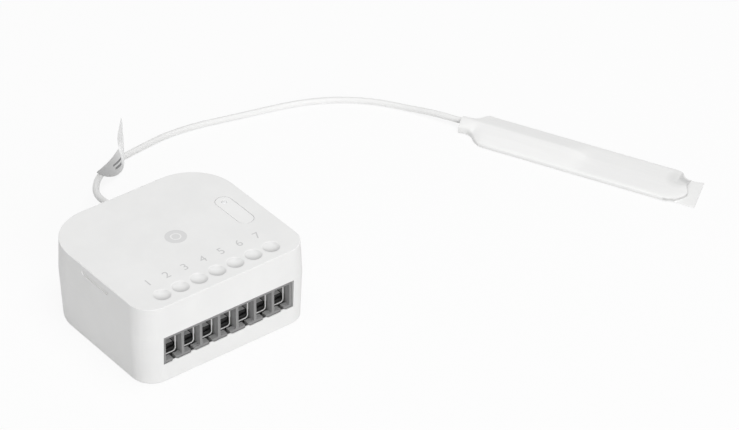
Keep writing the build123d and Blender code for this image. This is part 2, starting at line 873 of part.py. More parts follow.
def route_radii(points):
    """Radius of the arc at each inner point of a route."""
    radii = []
    for before, here, after in zip(points, points[1:], points[2:]):
        incoming = Vector(*here) - Vector(*before)
        outgoing = Vector(*after) - Vector(*here)
        half_turn = radians(incoming.get_angle(outgoing) / 2)
        radii.append(arc_share * min(incoming.length, outgoing.length) / tan(half_turn))
    return radii


def make_antenna_cable():
    """Free stretch of the cable, from the rear wall to the sleeve's mouth."""
    radii = route_radii(cable_route)
    path = FilletPolyline(*cable_route, radius=radii)
    start = Plane(origin=path @ 0, z_dir=path % 0)
    tube = sweep(start * Circle(cable_radius), path=path)
    expected = pi * cable_radius ** 2 * path.length
    print("cable radii", [round(radius, 1) for radius in radii])
    print("cable length", round(path.length, 1), "volume share", round(tube.volume / expected, 4))
    return tube


def at_sleeve(shape):
    """Moves a shape from the sleeve's own frame, with X from its mouth, to its place on the floor."""
    before = cable_route[-2]
    mouth = cable_route[-1]
    turn = degrees(atan2(mouth[1] - before[1], mouth[0] - before[0]))
    return Pos(mouth[0], mouth[1], 0) * Rot(0, 0, turn) * shape


def sleeve_stations():
    """Place, reach to both sides, edge height and crest height of each section of the sleeve."""
    return [
        (0, neck_near, mouth_far, neck_edge_height, ridge_height),
        (neck_length, neck_near, neck_far, neck_edge_height, ridge_height),
        (flare_length, flare_near, flare_far, body_edge_height, ridge_height),
        (shoulder_length, body_near, body_far, body_edge_height, ridge_height),
        (ridge_length, body_near, body_far, body_edge_height, ridge_height),
        (ridge_fade_length, body_near, body_far, body_edge_height, body_crest_height),
        (body_end_length, body_near, body_far, body_edge_height, body_crest_height),
        (pinch_length, pinch_near, pinch_far, end_edge_height, pinch_crest_height),
        (sheet_length, pinch_near, pinch_far, end_edge_height, end_crest_height),
        (sleeve_length, end_near, end_far, end_edge_height, end_crest_height),
    ]


def sleeve_section(station, inset):
    """Tent-shaped section of the sleeve, moved inwards by the inset."""
    x, near, far, edge, crest = station
    points = [
        (-near + inset, inset),
        (-near + inset, edge - inset),
        (-crest_half_width, crest - inset),
        (crest_half_width, crest - inset),
        (far - inset, edge - inset),
        (far - inset, inset),
    ]
    plane = Plane(origin=(x, 0, 0), x_dir=(0, 1, 0), z_dir=(1, 0, 0))
    return plane * make_face(Polyline(*points, close=True))


def make_antenna_sleeve():
    """Shrink sleeve: narrow mouth, flat body with a ridge over the cable, pinched open end."""
    stations = sleeve_stations()
    outer = loft([sleeve_section(station, 0) for station in stations], ruled=True)
    first = (stations[0][0] - overrun,) + stations[0][1:]
    last = (stations[-1][0] + overrun,) + stations[-1][1:]
    inner_stations = [first] + stations[1:-1] + [last]
    inner = loft([sleeve_section(station, sleeve_wall) for station in inner_stations], ruled=True)
    return at_sleeve(outer - inner)


def make_antenna_pcb():
    """Flat printed aerial inside the sleeve."""
    gap = sleeve_wall + antenna_board_side_gap
    board = block(antenna_board_start, antenna_board_start + antenna_board_length, -body_near + gap,
                  body_far - gap, sleeve_wall, sleeve_wall + antenna_board_thickness)
    return at_sleeve(board)


def make_antenna_cable_tail():
    """Straight stretch of the cable inside the sleeve, up to its solder joint."""
    tail = Cylinder(cable_radius, tail_length, align=(Align.CENTER, Align.CENTER, Align.MIN))
    return at_sleeve(Pos(0, 0, tail_height) * Rot(0, 90, 0) * tail)


def film_section(before, here, after):
    """Thin face across the film between its two edges, square to the way that the film runs."""
    low = Vector(*here[:3])
    high = Vector(*here[3:])
    run = Vector(*after[:3]) + Vector(*after[3:]) - Vector(*before[:3]) - Vector(*before[3:])
    step = run.cross(high - low).normalized() * (label_thickness / 2)
    return make_face(Polyline(low - step, high - step, high + step, low + step, close=True))


def label_film():
    """Film lobe and its twisted leaf, in the label's own frame."""
    rows = [tuple(label_height * share for share in row) for row in label_shares]
    neighbours = zip(rows[:1] + rows[:-1], rows, rows[1:] + rows[-1:])
    sections = [film_section(before, here, after) for before, here, after in neighbours]
    return loft(sections, ruled=True)


def make_cable_flag_label():
    """Film lobe that twists up into a leaf, on a saddle that hugs the cable."""
    before = cable_route[6]
    after = cable_route[7]
    run = hypot(after[0] - before[0], after[1] - before[1])
    turn = degrees(atan2(after[1] - before[1], after[0] - before[0]))
    share = (label_x - before[0]) / run
    y = before[1] + share * (after[1] - before[1])
    inner = cable_radius + label_wrap_gap
    outer = inner + label_wrap_wall
    saddle = Rot(0, 90, 0) * (Cylinder(outer, label_wrap_width) - Cylinder(inner, 2 * label_wrap_width))
    saddle = Pos(0, 0, cable_radius) * saddle
    reach = label_wrap_width
    saddle -= block(-reach, reach, -reach, reach, -reach, 0)
    low = cable_radius + inner
    tab = block(-label_wrap_width / 2, 0, -label_wrap_wall / 2, label_wrap_wall / 2, low,
                low + label_tab_height)
    return Pos(label_x, y, 0) * Rot(0, 0, turn) * (saddle + tab + label_film())


def make_all():
    """Every node of the module by name."""
    nodes = {
        "base_case": make_base_case(),
        "top_cover": make_top_cover(),
        "button_cap": make_button_cap(),
        "led_light_guide": make_led_light_guide(),
        "main_pcb": make_main_pcb(),
        "terminal_block_body": make_terminal_block_body(),
        "contact_plates": make_contact_plates(),
        "relay_1": make_relay(relay_1_y),
        "relay_2": make_relay(relay_2_y),
        "transformer": make_transformer(),
        "capacitors": make_capacitors(),
        "varistor": make_varistor(),
        "fuse_resistor": make_fuse_resistor(),
        "radio_board": make_radio_board(),
        "radio_chip": make_radio_chip(),
        "radio_shield": make_radio_shield(),
        "coax_socket": make_coax_socket(),
        "coax_plug": make_coax_plug(),
        "tact_switch_body": make_tact_switch_body(),
        "tact_switch_plunger": make_tact_switch_plunger(),
        "status_led": make_status_led(),
        "antenna_cable_inner": make_antenna_cable_inner(),
        "antenna_cable": make_antenna_cable(),
        "antenna_cable_tail": make_antenna_cable_tail(),
        "antenna_pcb": make_antenna_pcb(),
        "antenna_sleeve": make_antenna_sleeve(),
        "cable_flag_label": make_cable_flag_label(),
    }
    cage = make_clamp_cage()
    screw = make_clamp_screw()
    for number, x in enumerate(pole_places(), start=1):
        nodes[f"clamp_cage_{number}"] = Pos(x, 0, 0) * cage
        nodes[f"clamp_screw_{number}"] = Pos(x, 0, 0) * screw
    return nodes


os.makedirs("parts", exist_ok=True)
for name, shape in make_all().items():
    export_step(shape, f"parts/{name}.step")
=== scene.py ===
"""Looks of a smart relay module: housing, clamp terminals, key, coax and flat aerial."""
import logging
from collections.abc import Iterator, Sequence
from contextlib import contextmanager
from dataclasses import dataclass, field
from enum import Enum
from math import cos, exp, hypot, pi, radians, sin

import bmesh
import bpy
from mathutils import Matrix, Vector


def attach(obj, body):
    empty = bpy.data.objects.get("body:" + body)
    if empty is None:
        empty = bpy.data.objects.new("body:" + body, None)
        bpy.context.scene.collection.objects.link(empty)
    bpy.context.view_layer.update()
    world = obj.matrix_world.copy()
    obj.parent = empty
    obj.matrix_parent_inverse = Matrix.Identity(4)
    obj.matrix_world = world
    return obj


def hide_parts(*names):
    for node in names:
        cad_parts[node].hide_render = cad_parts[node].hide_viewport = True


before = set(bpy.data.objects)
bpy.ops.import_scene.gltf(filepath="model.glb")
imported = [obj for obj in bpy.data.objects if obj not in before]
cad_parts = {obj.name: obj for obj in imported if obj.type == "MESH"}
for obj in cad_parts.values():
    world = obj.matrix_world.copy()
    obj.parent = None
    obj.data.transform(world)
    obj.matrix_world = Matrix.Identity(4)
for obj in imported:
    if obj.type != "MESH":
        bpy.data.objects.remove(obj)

logging.basicConfig(level=logging.INFO, format="%(message)s")
log = logging.getLogger("relay_module")

MM = 0.001
Obj = bpy.types.Object
Pair = tuple[float, float]
Triple = tuple[float, float, float]


def toned(colour: Triple, share: float) -> Triple:
    """Makes a colour darker or paler by a share, up to white."""
    return tuple(min(1.0, value * share) for value in colour)


class Grain(Enum):
    """Way that the rolling lines of a sheet run, as the stretch of their noise."""

    ALONG_X = (1.0, 8.0, 8.0)
    ALONG_Y = (8.0, 1.0, 8.0)


@dataclass(frozen=True)
class Bench:
    """Hand tools for one object at a time. Lengths go in as millimetres, angles as degrees."""

    merge_reach: float = 0.002
    flat_angle: float = 0.6
    sharp_angle: float = 32
    crease_angle: float = 35
    face_weight: int = 80

    def only(self, obj: Obj) -> None:
        """Makes one object the only selected and the active one.

        Args:
            obj: The object to work on.
        """
        if bpy.context.object and bpy.context.object.mode != "OBJECT":
            bpy.ops.object.mode_set(mode="OBJECT")
        bpy.ops.object.select_all(action="DESELECT")
        obj.hide_set(False)
        obj.select_set(True)
        bpy.context.view_layer.objects.active = obj

    def settle(self, obj: Obj, name: str) -> Obj:
        """Names an object and bakes its place into its mesh.

        Args:
            obj: A new object.
            name: Its name.

        Returns:
            The same object, at the origin, unturned and unscaled.
        """
        self.only(obj)
        bpy.ops.object.transform_apply(location=True, rotation=True, scale=True)
        obj.name = name
        obj.data.name = name
        return obj

    def cylinder(self, name: str, radius: float, length: float, middle: Triple,
                 sides: int = 64) -> Obj:
        """Adds an upright cylinder.

        Args:
            name: Name of the new object.
            radius: Its radius.
            length: Its length.
            middle: Its middle.
            sides: Number of its side faces.

        Returns:
            The cylinder.
        """
        bpy.ops.mesh.primitive_cylinder_add(vertices=sides, radius=radius * MM, depth=length * MM,
                                            location=[value * MM for value in middle])
        return self.settle(bpy.context.object, name)

    @contextmanager
    def shaping(self, obj: Obj) -> Iterator[bmesh.types.BMesh]:
        """Opens an object in edit mode with nothing selected, and closes it again.

        Args:
            obj: The object to shape.

        Yields:
            Its edit mesh, to select by place.
        """
        self.only(obj)
        bpy.ops.object.mode_set(mode="EDIT")
        bpy.ops.mesh.select_mode(type="VERT")
        bpy.ops.mesh.select_all(action="DESELECT")
        yield bmesh.from_edit_mesh(obj.data)
        bpy.ops.object.mode_set(mode="OBJECT")

    def modifier(self, obj: Obj, kind: str, **settings: object) -> None:
        """Adds a modifier with its settings and applies it.

        Args:
            obj: The object.
            kind: The modifier's type.
            settings: Its settings by name.
        """
        self.only(obj)
        step = obj.modifiers.new(kind.title(), kind)
        for name, value in settings.items():
            setattr(step, name, value)
        bpy.ops.object.modifier_apply(modifier=step.name)

    def cut(self, obj: Obj, cutter: Obj) -> None:
        """Cuts the second object out of the first, and removes the second."""
        self.modifier(obj, "BOOLEAN", operation="DIFFERENCE", solver="EXACT", object=cutter)
        bpy.data.objects.remove(cutter, do_unlink=True)

    def smooth(self, obj: Obj, angle: float, weighted: bool = False) -> None:
        """Shades an object's faces smoothly where they meet below an angle.

        Args:
            obj: The object.
            angle: The angle.
            weighted: Whether large flat faces keep flat shading.
        """
        self.only(obj)
        bpy.ops.object.shade_smooth_by_angle(angle=radians(angle))
        if weighted:
            self.modifier(obj, "WEIGHTED_NORMAL", keep_sharp=True, weight=self.face_weight)

    def copy_of_node(self, node: str, name: str) -> Obj:
        """Copies a CAD node's mesh into a new object and merges its loose triangles.

        Args:
            node: The CAD node.
            name: Name of the new object.

        Returns:
            The new object with joined faces.
        """
        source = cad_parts[node]
        copy = bpy.data.objects.new(name, source.data.copy())
        copy.data.materials.clear()
        bpy.context.scene.collection.objects.link(copy)
        with self.shaping(copy):
            bpy.ops.mesh.select_all(action="SELECT")
            bpy.ops.mesh.customdata_custom_splitnormals_clear()
            bpy.ops.mesh.remove_doubles(threshold=self.merge_reach * MM)
            bpy.ops.mesh.dissolve_limited(angle_limit=radians(self.flat_angle))
        return copy

    def round_edges(self, piece: Obj, width: float, steps: int, crease: float) -> None:
        """Rounds the sharp edges of a piece.

        Args:
            piece: The piece.
            width: Width of the rounding.
            steps: Number of faces of the rounding.
            crease: Edges still sharper than this are shaded as creases.
        """
        self.modifier(piece, "BEVEL", width=width * MM, segments=steps, limit_method="ANGLE",
                      angle_limit=radians(self.sharp_angle), use_clamp_overlap=True,
                      miter_outer="MITER_ARC")
        self.smooth(piece, crease, True)


bench = Bench()


class Term:
    """One shader value, so that sums on it read as plain maths."""

    def __init__(self, paint: "Paint", socket: bpy.types.NodeSocket) -> None:
        """Keeps the material it belongs to and its socket."""
        self.paint = paint
        self.socket = socket

    def _maths(self, operation: str, *values: "Term | float") -> "Term":
        """Adds a Math node for one operation."""
        return self.paint.node("ShaderNodeMath", {"operation": operation}, *values)

    def __add__(self, other: "Term | float") -> "Term":
        """Sum."""
        return self._maths("ADD", self, other)

    def __sub__(self, other: "Term | float") -> "Term":
        """Difference."""
        return self._maths("SUBTRACT", self, other)

    def __rsub__(self, other: float) -> "Term":
        """Difference with the number first."""
        return self._maths("SUBTRACT", other, self)

    def __mul__(self, other: "Term | float") -> "Term":
        """Product."""
        return self._maths("MULTIPLY", self, other)

    def __lt__(self, other: "Term | float") -> "Term":
        """One where this is less, else nothing."""
        return self._maths("LESS_THAN", self, other)

    def __gt__(self, other: "Term | float") -> "Term":
        """One where this is greater, else nothing."""
        return self._maths("GREATER_THAN", self, other)

    def absolute(self) -> "Term":
        """Size without its sign."""
        return self._maths("ABSOLUTE", self)

    def over(self, limit: float) -> "Term":
        """How far this lies over a limit, nothing below it."""
        return self._maths("MAXIMUM", self - limit, 0.0)

    def repeated(self, pitch: float) -> "Term":
        """Rest after whole pitches are taken off."""
        return self._maths("FLOORED_MODULO", self, pitch)

    def wave(self) -> "Term":
        """Sine."""
        return self._maths("SINE", self)

    def between(self, low: float, high: float) -> "Term":
        """Ramps smoothly from nothing at low to one at high."""
        return self.paint.node("ShaderNodeMapRange", {"interpolation_type": "SMOOTHSTEP"},
                               self, low, high, 0.0, 1.0)


Feed = Term | float | Sequence


class Paint:
    """Builds one node material on a Principled shader."""

    def __init__(self, name: str, slot: str) -> None:
        """Starts the material.

        Args:
            name: The material's name.
            slot: The record's material slot.
        """
        self.slot = slot
        self.material = bpy.data.materials.new(name)
        self.material.use_nodes = True
        self.tree = self.material.node_tree
        self.shader = self.tree.nodes["Principled BSDF"]
        self._place: Term | None = None

    def node(self, kind: str, settings: dict[str, object] | None = None, *values: Feed,
             out: str | None = None, **named: Feed) -> Term:
        """Adds any node, sets it up and links or fills its sockets.

        Args:
            kind: The node's type.
            settings: Its settings, set before its sockets.
            values: What its sockets take, in order.
            out: Name of the output to return, the first one if none is given.
            named: What sockets take by name, with spaces as underscores.

        Returns:
            The chosen output.
        """
        step = self.tree.nodes.new(kind)
        for name, value in (settings or {}).items():
            setattr(step, name, value)
        shown = [socket for socket in step.inputs if socket.enabled]
        for socket, value in zip(shown, values):
            self._feed(socket, value)
        for name, value in named.items():
            plain = name.replace("_", " ")
            self._feed(next(socket for socket in shown if socket.name == plain), value)
        return Term(self, next(socket for socket in step.outputs
                               if socket.enabled and out in (None, socket.name)))

    def _feed(self, socket: bpy.types.NodeSocket, value: Feed) -> None:
        """Links or fills one socket.

        Args:
            socket: The socket.
            value: What it takes.
        """
        if isinstance(value, Term):
            self.tree.links.new(value.socket, socket)
        elif hasattr(value, "__len__") and len(value) == 3 and socket.type == "RGBA":
            socket.default_value = (*value, 1.0)
        else:
            socket.default_value = value

    @property
    def place(self) -> Term:
        """Place on the piece, in metres."""
        if self._place is None:
            self._place = self.node("ShaderNodeTexCoord", out="Object")
        return self._place

    def axis(self, letter: str) -> Term:
        """One coordinate of the place in millimetres."""
        return self.node("ShaderNodeSeparateXYZ", None, self.place, out=letter) * (1 / MM)

    def noise(self, per_mm: float, detail: float = 3.0, roughness: float = 0.5,
              stretch: Triple = (1, 1, 1)) -> Term:
        """Soft noise with its lumps counted per millimetre.

        Args:
            per_mm: Lumps per millimetre.
            detail: Layers of finer noise.
            roughness: Strength of the finer layers.
            stretch: Scale along each axis.

        Returns:
            A value about one half.
        """
        scaled = self.node("ShaderNodeMapping", {"vector_type": "POINT"}, self.place,
                           Scale=[value / MM for value in stretch])
        return self.node("ShaderNodeTexNoise", {"noise_dimensions": "3D"}, Vector=scaled,
                         Scale=per_mm, Detail=detail, Roughness=roughness)

    def blend(self, share: Term, first: Feed, second: Feed) -> Term:
        """Mixes two colours by the share of the second."""
        return self.node("ShaderNodeMix", {"data_type": "RGBA"}, share, first, second)

    def bump(self, height: Term, depth: float, strength: float) -> Term:
        """Turns a height into a surface normal, where one stands for a depth in millimetres."""
        return self.node("ShaderNodeBump", None, Strength=strength, Distance=depth * MM,
                         Height=height)

    def set(self, **sockets: Feed) -> None:
        """Fills sockets of the Principled shader by name, with spaces as underscores."""
        for name, value in sockets.items():
            self._feed(self.shader.inputs[name.replace("_", " ")], value)

    def dress(self, *objects: Obj) -> None:
        """Puts the material on pieces and CAD nodes.

        Args:
            objects: What takes the material.
        """
        for obj in objects:
            obj.data.materials.clear()
            obj.data.materials.append(self.material)


@dataclass(frozen=True)
class Finish:
    """What a piece is made of: a material for one slot of the record, built round one colour."""

    name: str
    slot: str
    colour: Triple

    def make(self) -> Paint:
        """Builds the material.

        Returns:
            The finished paint.
        """
        paint = Paint(self.name, self.slot)
        self.mix(paint)
        return paint

    def mix(self, paint: Paint) -> None:
        """Sets up the shader, each kind of finish in its own way."""
        raise NotImplementedError


@dataclass(frozen=True)
class MouldedPlastic(Finish):
    """Injection-moulded plastic with a fine spark-eroded grain and faint cloudy tone; it may carry
    painted light that makes the inside behind a front paler, and painted shade in the dishes of the
    top.
    """

    roughness: float = 0.42
    grain_per_mm: float = 9.0
    grain_depth: float = 0.012
    grain_strength: float = 0.5
    cloud_per_mm: float = 0.12
    cloud_ramp: Pair = (0.3, 0.7)
    tone: float = 0.03
    haze: float = 0.06
    front: float | None = None
    front_ramp: Pair = (0.05, 0.15)
    inner_lift: float = 1.45
    # The dish fields below set the painted shade in the dishes of the top.
    dish_row: float | None = None
    dish_radius: float = 2.075
    dish_pitch: float = 5.0
    dish_level: float = 19.6
    dishes_reach: float = 17.4
    dish_edge: float = 0.1
    dish_rim_share: float = 0.86
    dish_tone: float = 0.92
    dish_near_tone: float = 0.64
    dish_far_tone: float = 0.84
    dish_lee: Pair = (-0.5, -0.87)
    near_ramp: Pair = (-0.35, 0.85)
    far_ramp: Pair = (-0.45, -0.8)

    def shade_dishes(self, paint: Paint, colour: Term) -> Term:
        """Paints shade into the dishes: a little darker overall, darkest at the wall next to the
        terminals and somewhat darker at the far wall.

        Args:
            paint: The material in the making.
            colour: Colour without the shade.

        Returns:
            The shaded colour.
        """
        half = self.dish_pitch / 2
        x = (paint.axis("X") + half).repeated(self.dish_pitch) - half
        y = paint.axis("Y") - self.dish_row
        rim = self.dish_radius ** 2
        inside = (x * x + y * y).between(rim, self.dish_rim_share * rim)
        reach = self.dishes_reach
        row = paint.axis("X").absolute().between(reach + self.dish_edge, reach)
        level = paint.axis("Z").between(self.dish_level, self.dish_level + self.dish_edge)
        lee = x * (self.dish_lee[0] / self.dish_radius) + y * (self.dish_lee[1] / self.dish_radius)
        # Painted shade: these tones darken the dishes, most on the near wall.
        tone, dark, far = (toned(self.colour, share)
                           for share in (self.dish_tone, self.dish_near_tone, self.dish_far_tone))
        shade = paint.blend(lee.between(*self.near_ramp), tone, dark)
        shade = paint.blend(lee.between(*self.far_ramp), shade, far)
        return paint.blend(inside * row * level, colour, shade)

    def mix(self, paint: Paint) -> None:
        """Lays the grain and the cloudy tone, then the inside made paler by painted light, or the
        dishes' painted shade.

        Args:
            paint: The material in the making.
        """
        cloud = paint.noise(self.cloud_per_mm, 4.0, 0.55)
        grain = paint.noise(self.grain_per_mm, 2.0, 0.6)
        darker = toned(self.colour, 1 - self.tone)
        colour = paint.blend(cloud.between(*self.cloud_ramp), darker, self.colour)
        # Painted light: the inside behind the front is made paler, as if lit.
        if self.front is not None:
            inner = paint.axis("Y").between(*(self.front + depth for depth in self.front_ramp))
            colour = paint.blend(inner, colour, toned(self.colour, self.inner_lift))
        if self.dish_row is not None:
            colour = self.shade_dishes(paint, colour)
        rough = cloud * self.haze + (self.roughness - self.haze / 2)
        paint.set(Base_Color=colour, Roughness=rough, IOR=1.5,
                  Normal=paint.bump(grain, self.grain_depth, self.grain_strength))


@dataclass(frozen=True)
class ClearPlastic(Finish):
    """Milky clear plastic with a glossy skin."""

    paler_tone: float = 1.04
    roughness: float = 0.1
    coat: float = 0.6

    def mix(self, paint: Paint) -> None:
        """Clouds the colour, the roughness and the coat together.

        Args:
            paint: The material in the making.
        """
        cloud = paint.noise(1.2, 2.0)
        paler = toned(self.colour, self.paler_tone)
        paint.set(Base_Color=paint.blend(cloud, self.colour, paler), IOR=1.49,
                  Roughness=cloud * 0.08 + self.roughness, Coat_Weight=cloud * 0.2 + self.coat)


@dataclass(frozen=True)
class PlatedSheet(Finish):
    """Plated strip or sheet with fine rolling lines and a few duller patches."""

    roughness: float = 0.24
    grain: Grain = Grain.ALONG_X
    dull_tone: float = 0.82
    dull_ramp: Pair = (0.35, 0.75)
    relief: float = 0.006

    def mix(self, paint: Paint) -> None:
        """Lays the rolling lines and the patches.

        Args:
            paint: The material in the making.
        """
        lines = paint.noise(1.5, 3.0, 0.65, self.grain.value)
        patches = paint.noise(0.9, 3.0, 0.5)
        dull = toned(self.colour, self.dull_tone)
        paint.set(Base_Color=paint.blend(patches.between(*self.dull_ramp), self.colour, dull),
                  Roughness=lines * 0.16 + patches * 0.12 + (self.roughness - 0.14), Metallic=1.0,
                  Normal=paint.bump(lines, self.relief, 0.35))


@dataclass(frozen=True)
class ShearedStrip(Finish):
    """Strip whose faces are painted near black as the shade inside a cage, with a paler shelf above
    painted as light and a U-shaped stretch of its front edge painted bright as a highlight; its
    colour is that of the edge.
    """

    face_colour: Triple
    front: float
    shelf_colour: Triple
    shelf: float = 8.3
    edge_depth: float = 0.12
    pitch: float = 5.0
    arc_middle: Pair = (0.8, 6.8)
    arc_radius: float = 0.9
    worn_tone: float = 1.6
    worn_ramp: Pair = (0.4, 0.7)
    relief: float = 0.006

    def mix(self, paint: Paint) -> None:
        """Tells the edge with its painted highlight, the shelf with its painted light and the faces
        painted dark as shade apart by their place.

        Args:
            paint: The material in the making.
        """
        lines = paint.noise(1.5, 3.0, 0.65, Grain.ALONG_Y.value)
        patches = paint.noise(1.3, 3.0, 0.5)
        depth = paint.axis("Y")
        inner = depth.between(self.front + self.edge_depth / 2, self.front + 1.5 * self.edge_depth)
        worn = toned(self.face_colour, self.worn_tone)
        faces = paint.blend(patches.between(*self.worn_ramp), self.face_colour, worn)
        # Painted light: faces above the shelf line take the paler shelf colour.
        height = paint.axis("Z")
        above = height.between(self.shelf - self.edge_depth, self.shelf - self.edge_depth / 3)
        faces = paint.blend(above, faces, self.shelf_colour)
        # Painted highlight: only the front edge inside a U-shaped stretch round each pole is
        # bright.
        half = self.pitch / 2
        offset = ((paint.axis("X") + half).repeated(self.pitch) - half).absolute()
        aside = offset.over(self.arc_middle[0])
        below = (self.arc_middle[1] - height).over(0.0)
        highlight_band = (aside * aside + below * below) < self.arc_radius ** 2
        front = (1 - inner) * highlight_band
        paint.set(Base_Color=paint.blend(front, faces, self.colour), Metallic=front * 0.3 + 0.05,
                  Roughness=inner * 0.25 + lines * 0.12 + 0.3,
                  Normal=paint.bump(lines, self.relief, 0.35))


@dataclass(frozen=True)
class TurnedScrew(Finish):
    """Plated screw with a thread on its shaft and turning rings on its head; the thread's valleys
    are painted darker as shade.
    """

    pitch: float = 0.45
    head_top: float = 2.45
    shaft_blend: float = 0.15
    thread_depth: float = 0.12
    dull_tone: float = 0.75
    dull_ramp: Pair = (0.4, 0.8)

    def mix(self, paint: Paint) -> None:
        """Lays the thread over the shaft, the rings over the head, duller patches over both and
        painted shade in the thread's valleys.

        Args:
            paint: The material in the making.
        """
        height = paint.axis("Z")
        thread = (height * (2 * pi / self.pitch)).wave() * 0.5 + 0.5
        on_shaft = height.between(self.head_top, self.head_top + self.shaft_blend)
        rings = paint.noise(3.0, 2.0, 0.5, (1.0, 1.0, 6.0))
        patches = paint.noise(1.1, 3.0)
        relief = thread * on_shaft + rings * 0.1
        # Painted shade: the thread's valleys are darker, on top of the duller patches.
        shade = patches.between(*self.dull_ramp) * 0.6 + (1 - thread) * on_shaft * 0.4
        paint.set(Base_Color=paint.blend(shade, self.colour, toned(self.colour, self.dull_tone)),
                  Roughness=patches * 0.15 + 0.3, Metallic=0.4,
                  Normal=paint.bump(relief, self.thread_depth, 0.7))


@dataclass(frozen=True)
class CircuitBoard(Finish):
    """Solder-masked board: tracks under the mask and tinned pads on a grid."""

    pad_colour: Triple = (0.75, 0.74, 0.7)
    track_tone: float = 1.5
    pad_pitch: float = 2.5
    track_pitch: float = 1.1
    cross_pitch: float = 2.3
    pad_ramp: Pair = (0.93, 0.96)
    pad_share: float = 0.56

    def mix(self, paint: Paint) -> None:
        """Draws two directions of tracks in patches and scatters the pads.

        Args:
            paint: The material in the making.
        """
        x = paint.axis("X")
        y = paint.axis("Y")
        lane = (x * (pi / self.track_pitch)).wave().absolute()
        cross = (y * (pi / (self.cross_pitch * self.track_pitch))).wave().absolute()
        which = paint.noise(0.11, 0.0).between(0.47, 0.53)
        track = lane.between(0.72, 0.8) * which + cross.between(0.9, 0.94) * (1 - which)
        pad_x = (x * (pi / self.pad_pitch)).wave().absolute()
        pad_y = (y * (pi / self.pad_pitch)).wave().absolute()
        chosen = paint.noise(0.3, 0.0) > self.pad_share
        pad = pad_x.between(*self.pad_ramp) * pad_y.between(*self.pad_ramp) * chosen
        masked = paint.blend(track, self.colour, toned(self.colour, self.track_tone))
        paint.set(Base_Color=paint.blend(pad, masked, self.pad_colour), Metallic=pad * 0.9,
                  Roughness=0.35 - pad * 0.1, Normal=paint.bump(track * 0.4 + pad, 0.05, 0.6))


@dataclass(frozen=True)
class Moulding(Finish):
    """Smooth component body with a soft mottled sheen."""

    roughness: float = 0.3
    mottle_per_mm: float = 1.5
    lift: float = 1.35
    mottle_ramp: Pair = (0.35, 0.7)

    def mix(self, paint: Paint) -> None:
        """Mottles the colour, the roughness and the surface.

        Args:
            paint: The material in the making.
        """
        mottle = paint.noise(self.mottle_per_mm, 4.0, 0.6)
        lighter = toned(self.colour, self.lift)
        paint.set(Base_Color=paint.blend(mottle.between(*self.mottle_ramp), self.colour, lighter),
                  Roughness=mottle * 0.2 + (self.roughness - 0.1),
                  Normal=paint.bump(mottle, 0.03, 0.4))


@dataclass(frozen=True)
class Winding(Finish):
    """Taped winding with fine turns of wire that show through."""

    turns_per_mm: float = 3.0
    lift: float = 1.8
    roughness: float = 0.35

    def mix(self, paint: Paint) -> None:
        """Lays the turns under worn tape.

        Args:
            paint: The material in the making.
        """
        turns = (paint.axis("Z") * (2 * pi * self.turns_per_mm)).wave() * 0.5 + 0.5
        wear = paint.noise(0.8, 3.0)
        lighter = toned(self.colour, self.lift)
        paint.set(Base_Color=paint.blend(turns * wear, self.colour, lighter),
                  Roughness=wear * 0.2 + self.roughness, Normal=paint.bump(turns, 0.06, 0.5))


@dataclass(frozen=True)
class Jacket(Finish):
    """Smooth extruded coax jacket, faintly rippled, with painted light making it paler towards the
    floor.
    """

    roughness: float = 0.52
    low_colour: Triple = (0.89, 0.89, 0.885)
    low_ramp: Pair = (0.2, 1.45)
    ripple_tone: float = 0.99
    ripple_ramp: Pair = (0.35, 0.7)

    def mix(self, paint: Paint) -> None:
        """Lays a faint ripple and paints light on the side that the floor lights.

        Args:
            paint: The material in the making.
        """
        ripple = paint.noise(0.5, 3.0, 0.5)
        darker = toned(self.colour, self.ripple_tone)
        colour = paint.blend(ripple.between(*self.ripple_ramp), self.colour, darker)
        # Painted light: paler near the floor, as if lit by it.
        colour = paint.blend(paint.axis("Z").between(*self.low_ramp), self.low_colour, colour)
        paint.set(Base_Color=colour, Roughness=ripple * 0.12 + (self.roughness - 0.06),
                  Normal=paint.bump(ripple, 0.01, 0.05))


